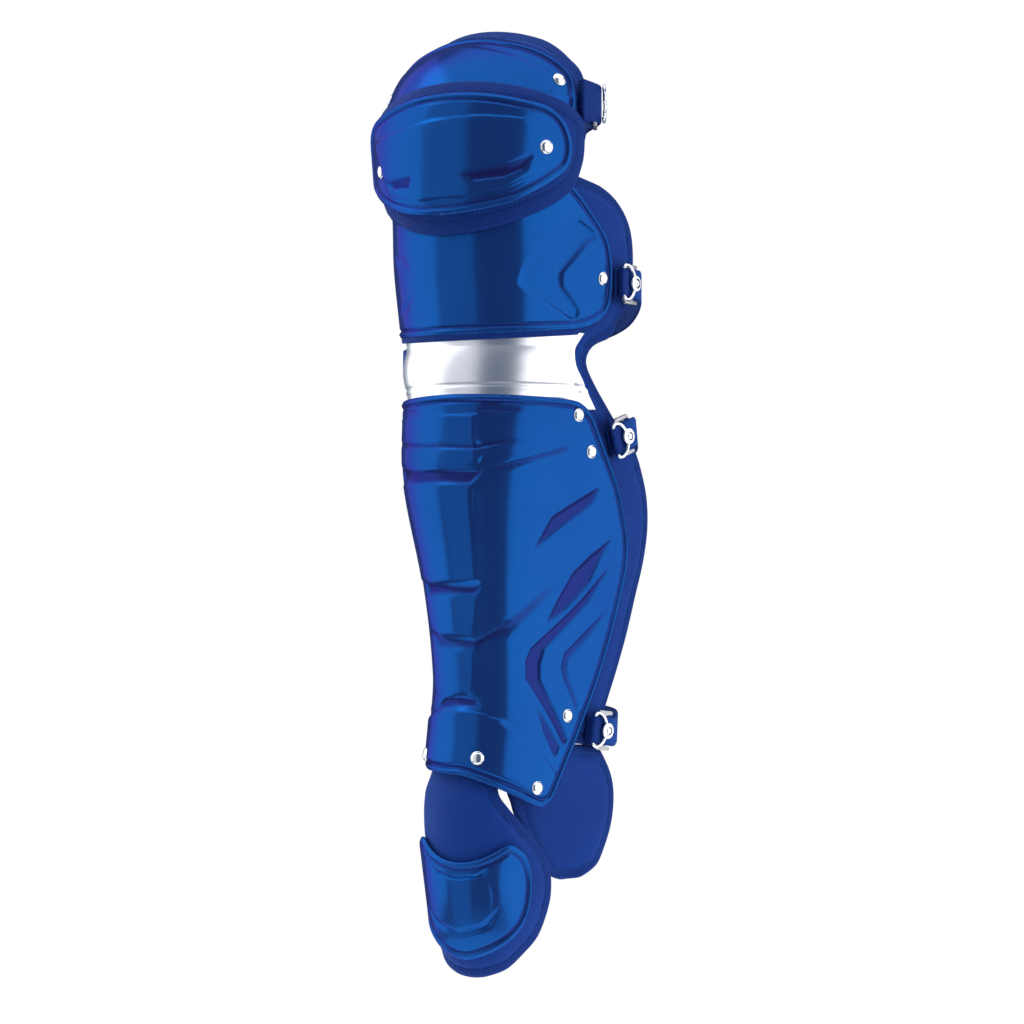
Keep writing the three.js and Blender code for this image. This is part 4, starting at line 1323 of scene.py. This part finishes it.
class GUARD_OT_stage(bpy.types.Operator):
    """Pale floor, soft lights and the camera"""
    bl_idname = "guard.stage"
    bl_label = "Stage"

    def execute(self, context):
        scene = context.scene
        stage = scene.guard_stage
        looks = scene.guard_looks
        azimuth = stage.azimuth
        towards = Vector((math.sin(azimuth), -math.cos(azimuth), 0))
        camera = bpy.data.cameras.new("camera")
        camera.sensor_width = 36
        camera.lens = 36 * stage.distance / 0.7066
        camera.shift_x = 7 / 1024
        eye = bpy.data.objects.new("camera", camera)
        eye.location = towards * stage.distance + Vector((0, 0, stage.height))
        eye.rotation_euler = (-towards).to_track_quat("-Z", "Y").to_euler()
        scene.collection.objects.link(eye)
        scene.camera = eye
        self.floor(CAD_BOX[0].z - stage.floor_gap, looks)
        # Each soft box: its bearing, distance, height, width, tallness and share of the brightness
        lamps = (
            ("left", -78, 1.6, 0.35, 2.3, 3.3, 1.0),
            ("left_front", -21, 1.6, 0.0, 1.22, 2.6, 0.42),
            ("right", 96, 1.6, 0.0, 3.2, 2.6, 1.0),
            ("back", 185, 2.0, 0.5, 1.2, 1.6, 0.2),
            ("above", 27, 0.2, 1.5, 3.2, 1.7, 0.9),
        )
        for name, angle, away, height, width, tall, share in lamps:
            glow = share * stage.glow
            self.lamp(name, math.radians(angle), away, height, width, tall, glow)
        self.surroundings(scene)
        scene.view_settings.view_transform = "Standard"
        scene.view_settings.look = "None"
        return {"FINISHED"}

    @staticmethod
    def floor(level, looks):
        """A wide pale disc under the guard."""
        deselect()
        bpy.ops.mesh.primitive_circle_add(
            vertices=96, radius=0.5, fill_type="NGON", location=(0, 0, level))
        disc = bpy.context.object
        disc.name = "studio_floor"
        bpy.ops.object.transform_apply(location=True)
        tree = Tree("floor_paper", Roughness=0.9)
        tree.shader.inputs["Emission Color"].default_value = (1, 1, 1, 1)
        tree.shader.inputs["Emission Strength"].default_value = 0.6
        tone = tree.noise(tree.place(), 3.0, 2.0)
        base = tree.mix(tone * 0.06, rgba(looks.floor), (0.86, 0.86, 0.86, 1))
        disc.data.materials.append(tree.feed(Base_Color=base))

    @staticmethod
    def lamp(name, angle, away, height, width, tall, glow):
        """A large soft light that faces the guard."""
        data = bpy.data.lights.new(name, "AREA")
        data.shape = "RECTANGLE"
        data.size, data.size_y = width, tall
        data.energy = glow * math.pi * width * tall
        spot = Vector((math.sin(angle) * away, -math.cos(angle) * away, height))
        lamp = bpy.data.objects.new(name, data)
        lamp.location = spot
        lamp.rotation_euler = (Vector((0, 0, -0.04)) - spot).to_track_quat("-Z", "Y").to_euler()
        bpy.context.scene.collection.objects.link(lamp)

    @staticmethod
    def surroundings(scene):
        """A white background that lights the guard only dimly."""
        world = bpy.data.worlds.new("studio")
        scene.world = world
        world.use_nodes = True
        nodes, links = world.node_tree.nodes, world.node_tree.links
        nodes.clear()
        path = nodes.new("ShaderNodeLightPath")
        seen, dim = nodes.new("ShaderNodeBackground"), nodes.new("ShaderNodeBackground")
        seen.inputs["Color"].default_value = (1, 1, 1, 1)
        dim.inputs["Color"].default_value = (0.42, 0.6, 1, 1)
        dim.inputs["Strength"].default_value = 0.19
        mix, out = nodes.new("ShaderNodeMixShader"), nodes.new("ShaderNodeOutputWorld")
        links.new(path.outputs["Is Camera Ray"], mix.inputs[0])
        links.new(dim.outputs[0], mix.inputs[1])
        links.new(seen.outputs[0], mix.inputs[2])
        links.new(mix.outputs[0], out.inputs["Surface"])


PIECE_OPERATORS = (
    GUARD_OT_shells, GUARD_OT_pads, GUARD_OT_band, GUARD_OT_binding, GUARD_OT_rivets,
    GUARD_OT_webbing, GUARD_OT_buckles, GUARD_OT_stage,
)


class GUARD_PT_panel(bpy.types.Panel):
    """Leg guard pieces and their colours"""
    bl_idname = "GUARD_PT_panel"
    bl_label = "Leg Guard"
    bl_space_type = "VIEW_3D"
    bl_region_type = "UI"
    bl_category = "Leg Guard"

    def draw(self, context):
        for group in (context.scene.guard_looks, context.scene.guard_stage):
            box = self.layout.box()
            for name in group.__annotations__:
                box.prop(group, name)
        for operator in PIECE_OPERATORS:
            self.layout.operator(operator.bl_idname)


CLASSES = (GuardLooks, GuardStage, *PIECE_OPERATORS, GUARD_PT_panel)


def register():
    for cls in CLASSES:
        bpy.utils.register_class(cls)
    bpy.types.Scene.guard_looks = bpy.props.PointerProperty(type=GuardLooks)
    bpy.types.Scene.guard_stage = bpy.props.PointerProperty(type=GuardStage)


def unregister():
    del bpy.types.Scene.guard_stage
    del bpy.types.Scene.guard_looks
    for cls in reversed(CLASSES):
        bpy.utils.unregister_class(cls)


def main():
    register()
    bpy.ops.guard.shells()
    bpy.ops.guard.pads()
    bpy.ops.guard.band()
    bpy.ops.guard.binding()
    bpy.ops.guard.rivets()
    bpy.ops.guard.webbing()
    bpy.ops.guard.buckles()
    bpy.ops.guard.stage()
    deselect()


if __name__ == "__main__":
    main()
